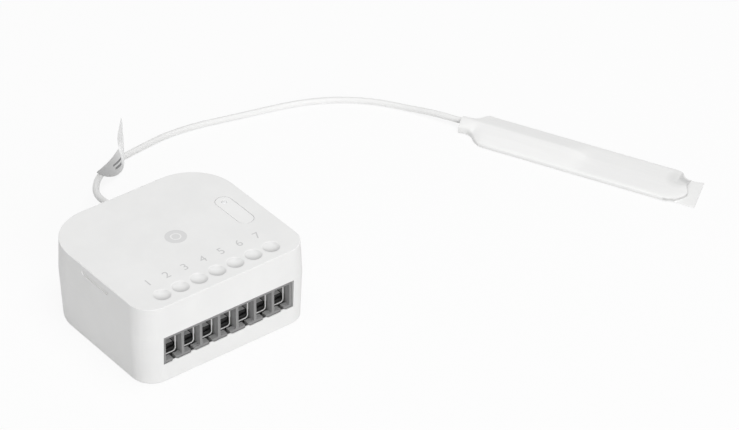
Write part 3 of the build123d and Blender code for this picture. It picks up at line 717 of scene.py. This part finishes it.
@dataclass(frozen=True)
class ShrunkSleeve(Finish):
    """Heat-shrunk sleeve: soft sheen, long faint creases along it, faintly darker in their valleys
    as painted shade, and tiny pores; painted shade darkens its pinched far end.
    """

    along: float
    roughness: float = 0.4
    mouth: Pair = (100.42, 19.24)
    crease_scale: Triple = (0.12, 1.0, 1.0)
    crease_tone: float = 0.985
    crease_ramp: Pair = (0.4, 0.65)
    hollow_middle: Pair = (57.8, 2.4)
    hollow_reach: Pair = (3.8, 4.8)
    hollow_tone: float = 0.87
    step_start: float = 56.8
    step_length: float = 0.8
    step_low: Pair = (0.5, 0.65)
    step_high: Pair = (1.3, 0.95)
    step_tone: float = 0.7

    def shade_end(self, paint: Paint, colour: Term) -> Term:
        """Paints shade into the hollow and under the low step at the pinched end, where the film
        gathers.

        Args:
            paint: The material in the making.
            colour: Colour without the shade.

        Returns:
            The shaded colour.
        """
        x = paint.axis("X") - self.mouth[0]
        y = paint.axis("Y") - self.mouth[1]
        along = x * cos(self.along) + y * sin(self.along)
        across = y * cos(self.along) - x * sin(self.along)
        u = (along - self.hollow_middle[0]) * (1 / self.hollow_reach[0])
        v = (across - self.hollow_middle[1]) * (1 / self.hollow_reach[1])
        hollow = (u * u + v * v).between(1.0, 0.0)
        # Painted shade: the hollow and the low step are darker.
        colour = paint.blend(hollow, colour, toned(self.colour, self.hollow_tone))
        height = paint.axis("Z")
        step = height.between(*self.step_low) * height.between(*self.step_high)
        step = step * along.between(self.step_start, self.step_start + self.step_length)
        return paint.blend(step, colour, toned(self.colour, self.step_tone))

    def mix(self, paint: Paint) -> None:
        """Lays the creases along the sleeve with painted shade in their valleys, and paints shade
        on its far end.

        Args:
            paint: The material in the making.
        """
        point = {"vector_type": "POINT"}
        turned = paint.node("ShaderNodeMapping", point, paint.place, Rotation=(0, 0, -self.along),
                            Scale=(1 / MM, 1 / MM, 1 / MM))
        stretched = paint.node("ShaderNodeMapping", point, turned, Scale=self.crease_scale)
        creases = paint.node("ShaderNodeTexNoise", None, Vector=stretched, Scale=0.8, Detail=3.0)
        pores = paint.noise(8.0, 2.0)
        darker = toned(self.colour, self.crease_tone)
        # Painted shade: the creases' valleys are faintly darker.
        colour = paint.blend(creases.between(*self.crease_ramp), darker, self.colour)
        paint.set(Base_Color=self.shade_end(paint, colour),
                  Roughness=creases * 0.14 + (self.roughness - 0.07),
                  Normal=paint.bump(creases + pores * 0.1, 0.04, 0.2))


@dataclass(frozen=True)
class Film(Finish):
    """Thin film: a lobe painted grey as the shade on its underside, paler towards the leaf as
    painted light, with two plain dark bars, which rises into a clearer leaf.

    A bar is given by its start and end along the film and its middle and half width across it.
    """

    leaf_colour: Triple
    bar_colour: Triple = (0.12, 0.12, 0.125)
    bar_share: float = 0.85
    upper_bar: tuple[float, float, float, float] = (0.235, 0.44, 0.57, 0.05)
    lower_bar: tuple[float, float, float, float] = (0.28, 0.42, 0.36, 0.06)
    lobe_start: float = 0.1
    lobe_end: float = 0.47
    lobe_blend: float = 0.03
    lobe_tone: float = 1.3
    clear_from: float = 0.58
    clear_blend: float = 0.12

    def mix(self, paint: Paint) -> None:
        """Places the lobe with its painted shade and light, the bars and the leaf on the film's own
        map.

        Args:
            paint: The material in the making.
        """
        across = paint.node("ShaderNodeUVMap", {"uv_map": "leaf"})
        u = paint.node("ShaderNodeSeparateXYZ", None, across, out="X")
        v = paint.node("ShaderNodeSeparateXYZ", None, across, out="Y")
        upper, lower = ((v > start) * (v < end) * ((u - middle).absolute() < half)
                        for start, end, middle, half in (self.upper_bar, self.lower_bar))
        crinkle = paint.noise(0.6, 3.0)
        leaf = v.between(self.lobe_end - self.lobe_blend, self.lobe_end + self.lobe_blend)
        # Painted shade: the lobe is grey, growing paler towards the leaf as painted light.
        paler = toned(self.colour, self.lobe_tone)
        lobe = paint.blend(v.between(self.lobe_start, self.lobe_end), self.colour, paler)
        film = paint.blend(leaf, lobe, self.leaf_colour)
        clear = v.between(self.clear_from, self.clear_from + self.clear_blend)
        paint.set(Base_Color=paint.blend((upper + lower) * self.bar_share, film, self.bar_colour),
                  Roughness=crinkle * 0.2 + 0.25, Alpha=1 - clear * 0.5,
                  Normal=paint.bump(crinkle, 0.01, 0.15))


@dataclass(frozen=True)
class Print(Finish):
    """Grey marking ink with a slightly uneven cover."""

    thin_tone: float = 1.06
    roughness: float = 0.4

    def mix(self, paint: Paint) -> None:
        """Varies the cover of the ink.

        Args:
            paint: The material in the making.
        """
        cover = paint.noise(5.0, 3.0)
        paint.set(Base_Color=paint.blend(cover, self.colour, toned(self.colour, self.thin_tone)),
                  Roughness=cover * 0.1 + self.roughness)


class Finishes:
    """Every finish of the module, made once."""

    def __init__(self) -> None:
        """Builds all the materials."""
        white = (0.79, 0.79, 0.785)
        grey = (0.24, 0.24, 0.24)
        # Near black, painted as the shade inside the cages, for the screws and the contact plates.
        dark = (0.015, 0.015, 0.015)
        # The housing's dishes carry painted shade.
        self.housing = MouldedPlastic("Housing white", "housing_white", white,
                                      dish_row=-16.708).make()
        self.key = MouldedPlastic("Key white", "key_white", (0.81, 0.81, 0.805), 0.38).make()
        self.guide = ClearPlastic("Clear guide", "clear_guide", (0.76, 0.765, 0.77)).make()
        # The block's inside behind its front is made paler by painted light.
        self.terminal = MouldedPlastic("Terminal grey", "terminal_grey", grey, 0.5,
                                       front=-20.558).make()
        # Cage: its pale colour is the painted highlight on its front edge, its near-black faces
        # painted shade, its grey shelf painted light.
        self.cage = ShearedStrip("Plated cage", "plated_steel", (0.88, 0.88, 0.87),
                                 (0.01, 0.01, 0.01), -18.908, (0.3, 0.3, 0.3)).make()
        self.screw = TurnedScrew("Screw painted dark as shade", "plated_steel", dark).make()
        # Contact plates: near black as painted shade, with a pale shelf painted as light on their
        # tops.
        self.contact = ShearedStrip("Tinned contact in painted shade", "tinned_brass", dark, dark, -18.458,
                                    (0.6, 0.6, 0.6)).make()
        self.board = CircuitBoard("Board green", "board_green", (0.03, 0.16, 0.07)).make()
        self.relay = Moulding("Relay black", "relay_black", (0.03, 0.03, 0.035)).make()
        self.winding = Winding("Taped winding", "core_brown", (0.12, 0.09, 0.06)).make()
        self.can = Moulding("Capacitor sleeve", "can_sleeve", (0.04, 0.05, 0.1), 0.25, 0.4).make()
        self.varistor = Moulding("Dipped blue", "varistor_blue", (0.06, 0.15, 0.4), 0.45,
                                 2.5).make()
        self.resistor = Moulding("Coated green", "resistor_green", (0.35, 0.45, 0.4), 0.5, 3.0,
                                 1.1).make()
        self.shield = PlatedSheet("Drawn shield", "shield_metal", (0.65, 0.65, 0.64), 0.32,
                                  Grain.ALONG_Y).make()
        self.chip = Moulding("Chip package", "chip_black", (0.02, 0.02, 0.02), 0.5, 6.0, 1.6).make()
        self.switch = Moulding("Switch body", "switch_black", (0.03, 0.03, 0.03), 0.45, 4.0).make()
        self.plunger = Moulding("Switch pin", "plunger_brown", (0.25, 0.12, 0.05), 0.4, 3.0,
                                1.15).make()
        self.lamp = ClearPlastic("Lamp lens", "lamp_white", (0.8, 0.8, 0.7)).make()
        self.gold = PlatedSheet("Gold contact", "gold_contact", (0.8, 0.6, 0.25), 0.28).make()
        self.jacket = Jacket("Cable jacket", "cable_white", (0.78, 0.78, 0.775)).make()
        self.sleeve = ShrunkSleeve("Shrunk sleeve", "sleeve_white", (0.82, 0.82, 0.815),
                                   radians(-65.45)).make()
        # Label: its grey is painted shade on the lobe; the pale leaf colour is the film's own.
        self.film = Film("Label film", "label_film", (0.52, 0.52, 0.52), (0.9, 0.9, 0.9)).make()
        self.ink = Print("Marking ink", "housing_white", (0.63, 0.63, 0.63)).make()
        self.figure_ink = Print("Figure ink", "housing_white", (0.54, 0.54, 0.54)).make()


def place_piece(obj: Obj, body: str, paint: Paint, *nodes: str) -> None:
    """Dresses a piece, hangs it on its body and hides what it replaces.

    Args:
        obj: The new piece.
        body: Body that it moves with.
        paint: Its finish.
        nodes: CAD nodes that it stands for.
    """
    paint.dress(obj)
    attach(obj, body)
    if nodes:
        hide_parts(*nodes)
    log.info("piece %s on %s, %d faces", obj.name, body,
             len(obj.data.polygons) if obj.type == "MESH" else 0)


def place_softened(node: str, name: str, paint: Paint, width: float, steps: int = 2,
                   body: str = "root") -> None:
    """Replaces a CAD node with a copy whose sharp edges are rounded.

    Args:
        node: The CAD node.
        name: Name of the new piece.
        paint: Its finish.
        width: Width of the rounding.
        steps: Number of faces of the rounding.
        body: Body that it moves with.
    """
    piece = bench.copy_of_node(node, name)
    bench.round_edges(piece, width, steps, bench.crease_angle)
    place_piece(piece, body, paint, node)


def dress_node(paint: Paint, *nodes: str) -> None:
    """Gives CAD nodes that keep their shape a better material.

    Args:
        paint: The finish.
        nodes: Names of the nodes.
    """
    for name in nodes:
        paint.dress(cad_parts[name])
        log.info("node %s keeps its CAD shape", name)


@dataclass
class Housing:
    """Lower and upper shell with the marks on the top."""

    top: float = 20.75
    dish_row: float = -16.708
    digit_row: float = -11.3
    digit_height: float = 2.3
    capital_share: float = 0.7
    pitch: float = 5.0
    poles: int = 7
    mark_middle: Pair = (0.18, -0.45)
    mark_radius: float = 2.57
    ring_radius: float = 1.15
    ring_width: float = 0.34
    ink_height: float = 0.015
    dish_radius: float = 2.075
    dish_depth: float = 0.7
    new_dish_depth: float = 0.66
    dish_rim: float = 0.05
    dish_steepness: float = 1.1
    rim_break: float = 0.3
    rim_share: float = 0.3
    rim_reach: float = 1.8
    rim_slack: float = 0.1
    base_rounding: float = 0.14
    cover_rounding: float = 0.06
    cover_crease: float = 14

    def build(self, finishes: Finishes) -> None:
        """Builds both shells and their marks.

        Args:
            finishes: The finishes to use.
        """
        place_softened("base_case", "base_shell", finishes.housing, self.base_rounding, 3)
        cover = bench.copy_of_node("top_cover", "cover_shell")
        self.tighten_rim(cover)
        self.steepen_dishes(cover)
        bench.round_edges(cover, self.cover_rounding, 2, self.cover_crease)
        place_piece(cover, "root", finishes.housing, "top_cover")
        for number, x in enumerate(self.pole_places(), 1):
            place_piece(self.digit(number, x), "root", finishes.figure_ink)
        place_piece(self.mark(), "root", finishes.ink)

    def pole_places(self) -> list[float]:
        """Lists where the poles stand along the row."""
        return [(pole - (self.poles - 1) / 2) * self.pitch for pole in range(self.poles)]

    def steepen_dishes(self, cover: Obj) -> None:
        """Gives the dishes steeper walls and flatter floors.

        Args:
            cover: The upper shell.
        """
        with bench.shaping(cover) as mesh:
            for vertex in mesh.verts:
                x, y, z = vertex.co / MM
                depth = self.top - z
                aside = min(hypot(x - pole, y - self.dish_row) for pole in self.pole_places())
                wall = self.dish_rim < depth < self.dish_depth + self.dish_rim
                if wall and aside < self.dish_radius:
                    left = max(0.0, 1 - depth / self.dish_depth)
                    deeper = self.new_dish_depth * (1 - left ** self.dish_steepness)
                    vertex.co.z = (self.top - deeper) * MM
            bmesh.update_edit_mesh(cover.data)

    def tighten_rim(self, cover: Obj) -> None:
        """Makes the broken edge round the top narrower.

        Args:
            cover: The upper shell.
        """
        reach = self.rim_break * self.rim_reach
        slack = self.rim_break * self.rim_slack
        with bench.shaping(cover) as mesh:
            low = [vertex for vertex in mesh.verts
                   if abs(vertex.co.z / MM - (self.top - self.rim_break)) < slack]
            for vertex in mesh.verts:
                if vertex.co.z / MM < self.top - slack:
                    continue
                partner = min(low, key=lambda other: (other.co - vertex.co).length)
                if (partner.co - vertex.co).length / MM < reach:
                    gap = partner.co - vertex.co
                    vertex.co += Vector((gap.x, gap.y, 0)) * (1 - self.rim_share)
            for vertex in low:
                vertex.co.z += self.rim_break * (1 - self.rim_share) * MM
            bmesh.update_edit_mesh(cover.data)

    def digit(self, number: int, x: float) -> Obj:
        """Makes one terminal number as a thin raised figure.

        Args:
            number: The number.
            x: Its middle.

        Returns:
            The figure.
        """
        bpy.ops.object.text_add(location=(x * MM, self.digit_row * MM, self.top * MM))
        text = bpy.context.object
        text.data.body = str(number)
        text.data.align_x = "CENTER"
        text.data.align_y = "CENTER"
        text.data.size = self.digit_height / self.capital_share * MM
        text.data.extrude = self.ink_height * MM
        bench.only(text)
        bpy.ops.object.convert(target="MESH")
        return bench.settle(bpy.context.object, f"terminal_number_{number}")

    def mark(self) -> Obj:
        """Makes the plain round mark: a filled disc with a bare ring left open in it.

        Returns:
            The mark.
        """
        x, y = self.mark_middle
        middle = (x, y, self.top)
        height = 2 * self.ink_height
        disc = bench.cylinder("round_mark", self.mark_radius, height, middle, sides=96)
        bench.cut(disc, bench.cylinder("gap", self.ring_radius + self.ring_width / 2, 1.0, middle))
        core = bench.cylinder("core", self.ring_radius - self.ring_width / 2, height, middle)
        bench.only(disc)
        core.select_set(True)
        bpy.ops.object.join()
        return disc


@dataclass
class Terminals:
    """Seven-pole block with its cages, screws and contact plates."""

    poles: int = 7
    block_rounding: float = 0.07
    plate_rounding: float = 0.08
    cage_rounding: float = 0.05
    screw_rounding: float = 0.08

    def build(self, finishes: Finishes) -> None:
        """Builds the block and its metal parts.

        Args:
            finishes: The finishes to use.
        """
        place_softened("terminal_block_body", "terminal_block", finishes.terminal,
                       self.block_rounding)
        place_softened("contact_plates", "contact_plate_row", finishes.contact, self.plate_rounding)
        for pole in range(1, self.poles + 1):
            place_softened(f"clamp_cage_{pole}", f"cage_strip_{pole}", finishes.cage,
                           self.cage_rounding, body=f"cage_{pole}")
            place_softened(f"clamp_screw_{pole}", f"slotted_screw_{pole}", finishes.screw,
                           self.screw_rounding, body=f"screw_{pole}")


@dataclass
class Key:
    """Push key with its light guide, switch and lamp."""

    cap_rounding: float = 0.12
    guide_rounding: float = 0.05

    def build(self, finishes: Finishes) -> None:
        """Builds the key and its light guide and dresses what lies under them.

        Args:
            finishes: The finishes to use.
        """
        place_softened("button_cap", "key_cap", finishes.key, self.cap_rounding, 3, "button")
        place_softened("led_light_guide", "light_guide", finishes.guide, self.guide_rounding,
                       body="button")
        dress_node(finishes.switch, "tact_switch_body")
        dress_node(finishes.plunger, "tact_switch_plunger")
        dress_node(finishes.lamp, "status_led")


@dataclass
class Electronics:
    """Boards and components inside the housing."""

    relay_rounding: float = 0.2
    winding_rounding: float = 0.15
    shield_rounding: float = 0.06

    def build(self, finishes: Finishes) -> None:
        """Dresses what stays in its CAD shape and rounds the larger bodies.

        Args:
            finishes: The finishes to use.
        """
        dress_node(finishes.board, "main_pcb", "radio_board", "antenna_pcb")
        dress_node(finishes.chip, "radio_chip")
        dress_node(finishes.can, "capacitors")
        dress_node(finishes.varistor, "varistor")
        dress_node(finishes.resistor, "fuse_resistor")
        dress_node(finishes.gold, "coax_socket", "coax_plug")
        for name in ("relay_1", "relay_2"):
            place_softened(name, f"sealed_{name}", finishes.relay, self.relay_rounding, 3)
        place_softened("transformer", "wound_transformer", finishes.winding, self.winding_rounding)
        place_softened("radio_shield", "drawn_shield", finishes.shield, self.shield_rounding)


@dataclass(frozen=True)
class Station:
    """One section across the sleeve, with its reach to both sides and its heights.

    It may slant, run out in a tongue, drop at its far edge, or lie tucked back above its foot.
    """

    along: float
    near: float
    far: float
    edge: float
    crest: float
    slant: float = 0.0
    tongue: float = 0.0
    far_drop: float = 0.0
    tuck: float = 0.0
    tongue_across: float = -2.6

    def place_along(self, across: float) -> float:
        """Finds how far from the mouth a point lies, on a section that may lean or bulge."""
        bulge = exp(-((across - self.tongue_across) / self.tongue_across) ** 2)
        return self.along + self.slant * across + self.tongue * bulge

    def profile(self, floor: float = 0.04, flat: float = 0.45, corner: float = 0.3) -> list[Triple]:
        """Tent-shaped ring of points round the section.

        Args:
            floor: Height of the underside.
            flat: Half the width of the ridge.
            corner: Size of the rounded corners.

        Returns:
            Places along, across and above.
        """
        bottom = floor + 0.8 * corner
        wall, shoulder, crown = 0.72, 0.98, 0.05
        points = [(0.0, floor)]
        sides = []
        far_side = (self.far, self.edge - self.far_drop, 1)
        for reach, edge, sign in (far_side, (self.near, self.edge, -1)):
            rise = self.crest - edge
            side = [(reach * 0.5, floor), (reach - corner, floor), (reach, bottom),
                    (reach, max(wall * edge, bottom)), (reach - corner, shoulder * edge)]
            for share in (0.34, 0.68):
                side.append((reach - corner - share * (reach - corner - flat), edge + share * rise))
            side.append((flat, self.crest - crown * rise))
            sides.append([(sign * across, height) for across, height in side])
        points += [*sides[0], (0.0, self.crest), *reversed(sides[1])]
        ring = []
        for across, height in points:
            back = self.tuck if height > bottom else 0.0
            ring.append((self.place_along(across) - back, across, height))
        return ring


@dataclass
class Aerial:
    """Free coax, its stretches in the housing and in the sleeve, the sleeve and the film label."""

    radius: float = 0.8
    curve_steps: int = 12
    bevel_steps: int = 8
    exit: Triple = (2.5, 21.25, 12.67)
    plug_end: Triple = (2.5, 15.05, 12.67)
    route: list[Triple] = field(default_factory=lambda: [
        (2.5, 21.25, 12.67), (2.5, 26.4, 12.67), (1.5, 31.6, 12.4), (3.4, 37.2, 10.8),
        (8.6, 44.9, 7.0), (14.2, 52.0, 3.0), (20.4, 57.4, 0.8), (28.8, 58.6, 0.8),
        (42.2, 59.9, 0.8), (59.4, 55.4, 0.8), (77.0, 50.6, 0.8), (88.3, 42.2, 0.8),
        (94.3, 32.8, 0.8), (97.51, 25.61, 1.7), (100.42, 19.24, 1.7)])
    mouth: Triple = (100.42, 19.24, 0.0)
    turn: float = -65.45
    length: float = 0.1416
    tail_length: float = 26.0
    tail_height: float = 1.7
    sleeve_wall: float = 0.2
    smooth_angle: float = 50
    stations: list[Station] = field(default_factory=lambda: [Station(*row) for row in (
        (0.15, 3.3, 1.7, 2.2, 2.9, -0.14), (0.6, 3.3, 1.8, 2.25, 2.95, -0.1),
        (2.2, 3.1, 1.95, 2.3, 2.95), (3.4, 3.15, 2.3, 2.2, 2.95), (4.3, 3.6, 4.3, 1.9, 2.95),
        (4.9, 4.2, 5.9, 1.6, 2.95), (5.4, 4.8, 6.1, 1.5, 2.95), (6.3, 5.7, 6.1, 1.42, 2.95),
        (7.2, 6.15, 6.1, 1.4, 2.95),
        *((along, 6.6, 6.1, 1.4, crest) for along, crest in (
            (7.7, 2.95), (14.0, 2.95), (22.0, 2.95), (28.5, 2.9), (31.6, 2.75), (33.6, 2.0),
            (35.6, 1.7), (42.0, 1.65), (50.0, 1.62))),
        (54.5, 6.6, 6.15, 1.4, 1.6), (56.4, 6.6, 6.2, 1.4, 1.6, 0.0, 0.0, 0.05),
        (57.2, 6.6, 6.25, 1.38, 1.58, 0.0, 0.0, 0.35), (57.5, 6.6, 6.1, 1.38, 1.56, 0.0, 0.0, 0.85),
        (57.8, 6.55, 5.5, 1.36, 1.55, 0.0, 0.0, 0.88),
        (58.3, 6.45, 5.0, 1.35, 1.54, 0.0, 0.0, 0.88),
        (59.0, 6.1, 4.6, 1.3, 1.5, 0.08, 1.2, 0.85), (59.7, 5.9, 4.5, 1.2, 1.45, 0.08, 2.4, 0.7),
        (59.95, 5.85, 4.5, 0.8, 0.9, 0.08, 2.4, 0.1),
        (60.1, 5.8, 4.5, 0.5, 0.56, 0.08, 2.3, 0.0, 0.35),
        (61.2, 5.85, 4.5, 0.46, 0.52, 0.02, 1.6), (62.8, 6.0, 4.75, 0.46, 0.5, -0.12, 0.6),
        (64.1, 5.95, 5.1, 0.46, 0.5, -0.18))])

    def build(self, finishes: Finishes) -> None:
        """Builds the cable first, then what hangs on it.

        Args:
            finishes: The finishes to use.
        """
        halfway = tuple((a + b) / 2 for a, b in zip(self.plug_end, self.exit))
        inner = self.tube("coax_inner", [self.plug_end, halfway, self.exit])
        place_piece(inner, "root", finishes.jacket, "antenna_cable_inner")
        cable = self.tube("coax_cable", self.route)
        place_piece(cable, "root", finishes.jacket, "antenna_cable")
        tail = self.tube("coax_tail", [self.on_floor(along, 0.0, self.tail_height)
                                       for along in (0.0, self.tail_length / 2, self.tail_length)])
        place_piece(tail, "root", finishes.jacket, "antenna_cable_tail")
        sleeve = self.sleeve()
        place_piece(sleeve, "root", finishes.sleeve, "antenna_sleeve")
        label = FlagLabel().build(finishes)

    def tube(self, name: str, route: Sequence[Triple]) -> Obj:
        """Makes a round tube on a smooth curve.

        Args:
            name: Name of the new object.
            route: Control points of the curve.

        Returns:
            The curve object.
        """
        curve = bpy.data.curves.new(name, "CURVE")
        curve.dimensions = "3D"
        curve.bevel_depth = self.radius * MM
        curve.bevel_resolution = self.bevel_steps
        curve.resolution_u = self.curve_steps
        curve.use_fill_caps = True
        spline = curve.splines.new("NURBS")
        spline.points.add(len(route) - 1)
        for point, place in zip(spline.points, route):
            point.co = (*(value * MM for value in place), 1.0)
        spline.order_u = 3
        spline.use_endpoint_u = True
        obj = bpy.data.objects.new(name, curve)
        bpy.context.scene.collection.objects.link(obj)
        return obj

    def on_floor(self, along: float, across: float, height: float) -> Triple:
        """Place of a point of the sleeve.

        Args:
            along: Distance from the mouth.
            across: Distance to the far side of its middle line.
            height: Height over the floor.

        Returns:
            The place in millimetres.
        """
        angle = radians(self.turn)
        return (self.mouth[0] + along * cos(angle) - across * sin(angle),
                self.mouth[1] + along * sin(angle) + across * cos(angle), height)

    def sleeve(self) -> Obj:
        """Shapes the sleeve ring by ring from a circle, then gives it a wall.

        Returns:
            The sleeve.
        """
        rings = [[Vector(self.on_floor(*point)) * MM for point in station.profile()]
                 for station in self.stations]
        bpy.ops.mesh.primitive_circle_add(vertices=len(rings[0]), radius=MM, fill_type="NOTHING")
        piece = bench.settle(bpy.context.object, "shrink_sleeve")
        with bench.shaping(piece) as mesh:
            bpy.ops.mesh.select_all(action="SELECT")
            for vertex, place in zip(mesh.verts, rings[0]):
                vertex.co = place
            bmesh.update_edit_mesh(piece.data)
            for before, ring in zip(rings, rings[1:]):
                bpy.ops.mesh.extrude_region_move()
                mesh = bmesh.from_edit_mesh(piece.data)
                for vertex in [vertex for vertex in mesh.verts if vertex.select]:
                    number = min(range(len(before)), key=lambda n: (before[n] - vertex.co).length)
                    vertex.co = ring[number]
                bmesh.update_edit_mesh(piece.data)
            bpy.ops.mesh.select_all(action="SELECT")
            bpy.ops.mesh.normals_make_consistent(inside=False)
        bench.modifier(piece, "SUBSURF", levels=2, render_levels=2)
        bench.modifier(piece, "SOLIDIFY", thickness=self.sleeve_wall * MM, offset=-1)
        bench.smooth(piece, self.smooth_angle)
        return piece


@dataclass
class FlagLabel:
    """Film label on the cable: a lobe beside it that twists up into a narrow leaf."""

    foot: Triple = (25.1, 58.071, 0.0)
    turn: float = 8.13
    height: float = 12.8
    thickness: float = 0.12
    columns: int = 8
    belly: float = 0.45
    belly_way: Triple = (-0.3, -0.9, 0.3)
    belly_reach: float = 4.0
    smooth_angle: float = 60
    edge_shares: list[tuple[float, ...]] = field(default_factory=lambda: [
        (-1.085, -0.473, 0.461, -1.063, -0.496, 0.500),
        (-0.907, -0.460, 0.281, -0.780, -0.401, 0.461),
        (-0.665, -0.395, 0.109, -0.481, -0.253, 0.406),
        (-0.445, -0.362, 0.039, -0.245, -0.105, 0.359),
        (-0.233, -0.272, 0.031, -0.154, -0.056, 0.344),
        (-0.099, -0.152, 0.094, -0.124, -0.033, 0.359),
        (-0.033, -0.079, 0.234, -0.087, 0.031, 0.438),
        (-0.015, -0.061, 0.492, -0.076, 0.046, 0.562),
        (-0.009, -0.045, 0.688, -0.053, 0.013, 0.750),
        (-0.028, -0.053, 0.984, -0.039, -0.041, 1.000)])

    def build(self, finishes: Finishes) -> Obj:
        """Builds the film from a grid.

        Args:
            finishes: The finishes to use.

        Returns:
            The film.
        """
        rows = len(self.edge_shares)
        bpy.ops.mesh.primitive_grid_add(x_subdivisions=self.columns, y_subdivisions=rows - 1,
                                        size=1)
        film = bench.settle(bpy.context.object, "film_label")
        film.data.uv_layers[0].name = "leaf"
        for vertex in film.data.vertices:
            u = vertex.co.x + 0.5
            row = round((vertex.co.y + 0.5) * (rows - 1))
            vertex.co = Vector(self.shape(u, row)) * MM
        bench.modifier(film, "SUBSURF", levels=2, render_levels=2)
        bench.modifier(film, "SOLIDIFY", thickness=self.thickness * MM, offset=0)
        bench.smooth(film, self.smooth_angle)
        place_piece(film, "root", finishes.film, "cable_flag_label")
        return film

    def shape(self, u: float, row: int) -> Triple:
        """Place of one point of the film.

        Args:
            u: Share of the way from the low edge to the high edge.
            row: Number of its row along the film.

        Returns:
            The place in millimetres.
        """
        shares = self.edge_shares[row]
        low = Vector(shares[:3]) * self.height
        high = Vector(shares[3:]) * self.height
        point = low.lerp(high, u)
        bow = self.belly * 4 * u * (1 - u) * min(1.0, (high - low).length / self.belly_reach)
        point += bow * Vector(self.belly_way)
        angle = radians(self.turn)
        x, y, _ = self.foot
        return (x + point.x * cos(angle) - point.y * sin(angle),
                y + point.x * sin(angle) + point.y * cos(angle), point.z)


@dataclass
class Studio:
    """Pale floor, white surroundings, soft lamps and the camera."""

    eye: Triple = (-351.75, -517.51, 464.45)
    azimuth: float = -38.259
    elevation: float = 35.024
    roll: float = 0.507
    lens: float = 164.69
    sensor: float = 36.0
    near_clip: float = 0.01
    floor_size: float = 3.0
    floor_lift: float = 0.01
    floor_colour: Triple = (0.8, 0.8, 0.8)
    floor_roughness: float = 0.9
    floor_sheen: float = 0.1
    floor_glow: float = 0.88
    world_strength: float = 0.42
    aim: Triple = (20, 0, 10)
    white_rays: tuple[str, ...] = ("Is Camera Ray", "Is Glossy Ray", "Is Transmission Ray")

    def build(self) -> None:
        """Builds the whole studio."""
        self.camera()
        self.floor()
        self.world()
        self.lamp("key_lamp", (-240, -970, 380), size=700, power=5.4)
        self.lamp("top_lamp", (60, -120, 1080), size=800, power=6.2)

    def camera(self) -> None:
        """Places the camera as it stood for the photograph."""
        turn, rise, roll = (radians(angle) for angle in (self.azimuth, self.elevation, self.roll))
        back = Vector((sin(turn) * cos(rise), -cos(turn) * cos(rise), sin(rise)))
        right = Vector((cos(turn), sin(turn), 0.0))
        up = back.cross(right)
        turned_right = right * cos(roll) + up * sin(roll)
        turned_up = up * cos(roll) - right * sin(roll)
        data = bpy.data.cameras.new("camera")
        data.lens = self.lens
        data.sensor_width = self.sensor
        data.clip_start = self.near_clip
        camera = bpy.data.objects.new("camera", data)
        bpy.context.scene.collection.objects.link(camera)
        pose = Matrix((turned_right, turned_up, back)).transposed().to_4x4()
        camera.matrix_world = Matrix.Translation(Vector(self.eye) * MM) @ pose
        bpy.context.scene.camera = camera

    def floor(self) -> None:
        """Lays a floor that glows white and still keeps a faint shadow."""
        bpy.ops.mesh.primitive_plane_add(size=self.floor_size,
                                         location=(0, 0, self.floor_lift * MM))
        floor = bpy.context.object
        floor.name = "floor"
        paint = Paint("Floor white", "housing_white")
        paint.set(Base_Color=self.floor_colour, Roughness=self.floor_roughness,
                  Specular_IOR_Level=self.floor_sheen)
        tree = paint.tree
        glow = tree.nodes.new("ShaderNodeEmission")
        glow.inputs["Color"].default_value = (1, 1, 1, 1)
        straight, glossy, through = (paint.node("ShaderNodeLightPath", out=ray)
                                     for ray in self.white_rays)
        share = (straight + glossy + through) * self.floor_glow
        self.share_out(tree, share.socket, paint.shader, glow, "Material Output")
        floor.data.materials.append(paint.material)

    def world(self) -> None:
        """Surrounds the object with dim white that looks full to some kinds of ray."""
        world = bpy.data.worlds.new("surroundings")
        world.use_nodes = True
        bpy.context.scene.world = world
        tree = world.node_tree
        light = tree.nodes["Background"]
        light.inputs["Color"].default_value = (1, 1, 1, 1)
        light.inputs["Strength"].default_value = self.world_strength
        white = tree.nodes.new("ShaderNodeBackground")
        white.inputs["Strength"].default_value = 1.0
        white.inputs["Color"].default_value = (1, 1, 1, 1)
        path = tree.nodes.new("ShaderNodeLightPath")
        seen = path.outputs[self.white_rays[0]]
        for ray in self.white_rays[1:]:
            either = tree.nodes.new("ShaderNodeMath")
            either.operation = "MAXIMUM"
            tree.links.new(seen, either.inputs[0])
            tree.links.new(path.outputs[ray], either.inputs[1])
            seen = either.outputs[0]
        self.share_out(tree, seen, light, white, "World Output")

    def share_out(self, tree: bpy.types.NodeTree, share: bpy.types.NodeSocket,
                  first: bpy.types.Node, second: bpy.types.Node, output: str) -> None:
        """Shares the light between two shaders.

        Args:
            tree: The node tree.
            share: Share of the second shader.
            first: The first shader.
            second: The second shader.
            output: Name of the node that takes the mix.
        """
        mix = tree.nodes.new("ShaderNodeMixShader")
        for socket, source in zip(mix.inputs, (share, first.outputs[0], second.outputs[0])):
            tree.links.new(source, socket)
        tree.links.new(mix.outputs[0], tree.nodes[output].inputs["Surface"])

    def lamp(self, name: str, place: Triple, size: float, power: float) -> None:
        """Adds a soft square lamp that faces the object.

        Args:
            name: Its name.
            place: Where it stands, in millimetres.
            size: Its side in millimetres.
            power: Its power in watts.
        """
        data = bpy.data.lights.new(name, "AREA")
        data.shape = "SQUARE"
        data.size = size * MM
        data.energy = power
        lamp = bpy.data.objects.new(name, data)
        bpy.context.scene.collection.objects.link(lamp)
        lamp.location = Vector(place) * MM
        to_aim = Vector(self.aim) * MM - lamp.location
        lamp.rotation_euler = to_aim.to_track_quat("-Z", "Y").to_euler()


def main() -> None:
    """Builds the module and its studio."""
    bpy.context.scene.view_settings.view_transform = "Standard"
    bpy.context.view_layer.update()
    Studio().build()
    finishes = Finishes()
    for part in (Aerial(), Housing(), Terminals(), Key(), Electronics()):
        part.build(finishes)


if __name__ == "__main__":
    main()
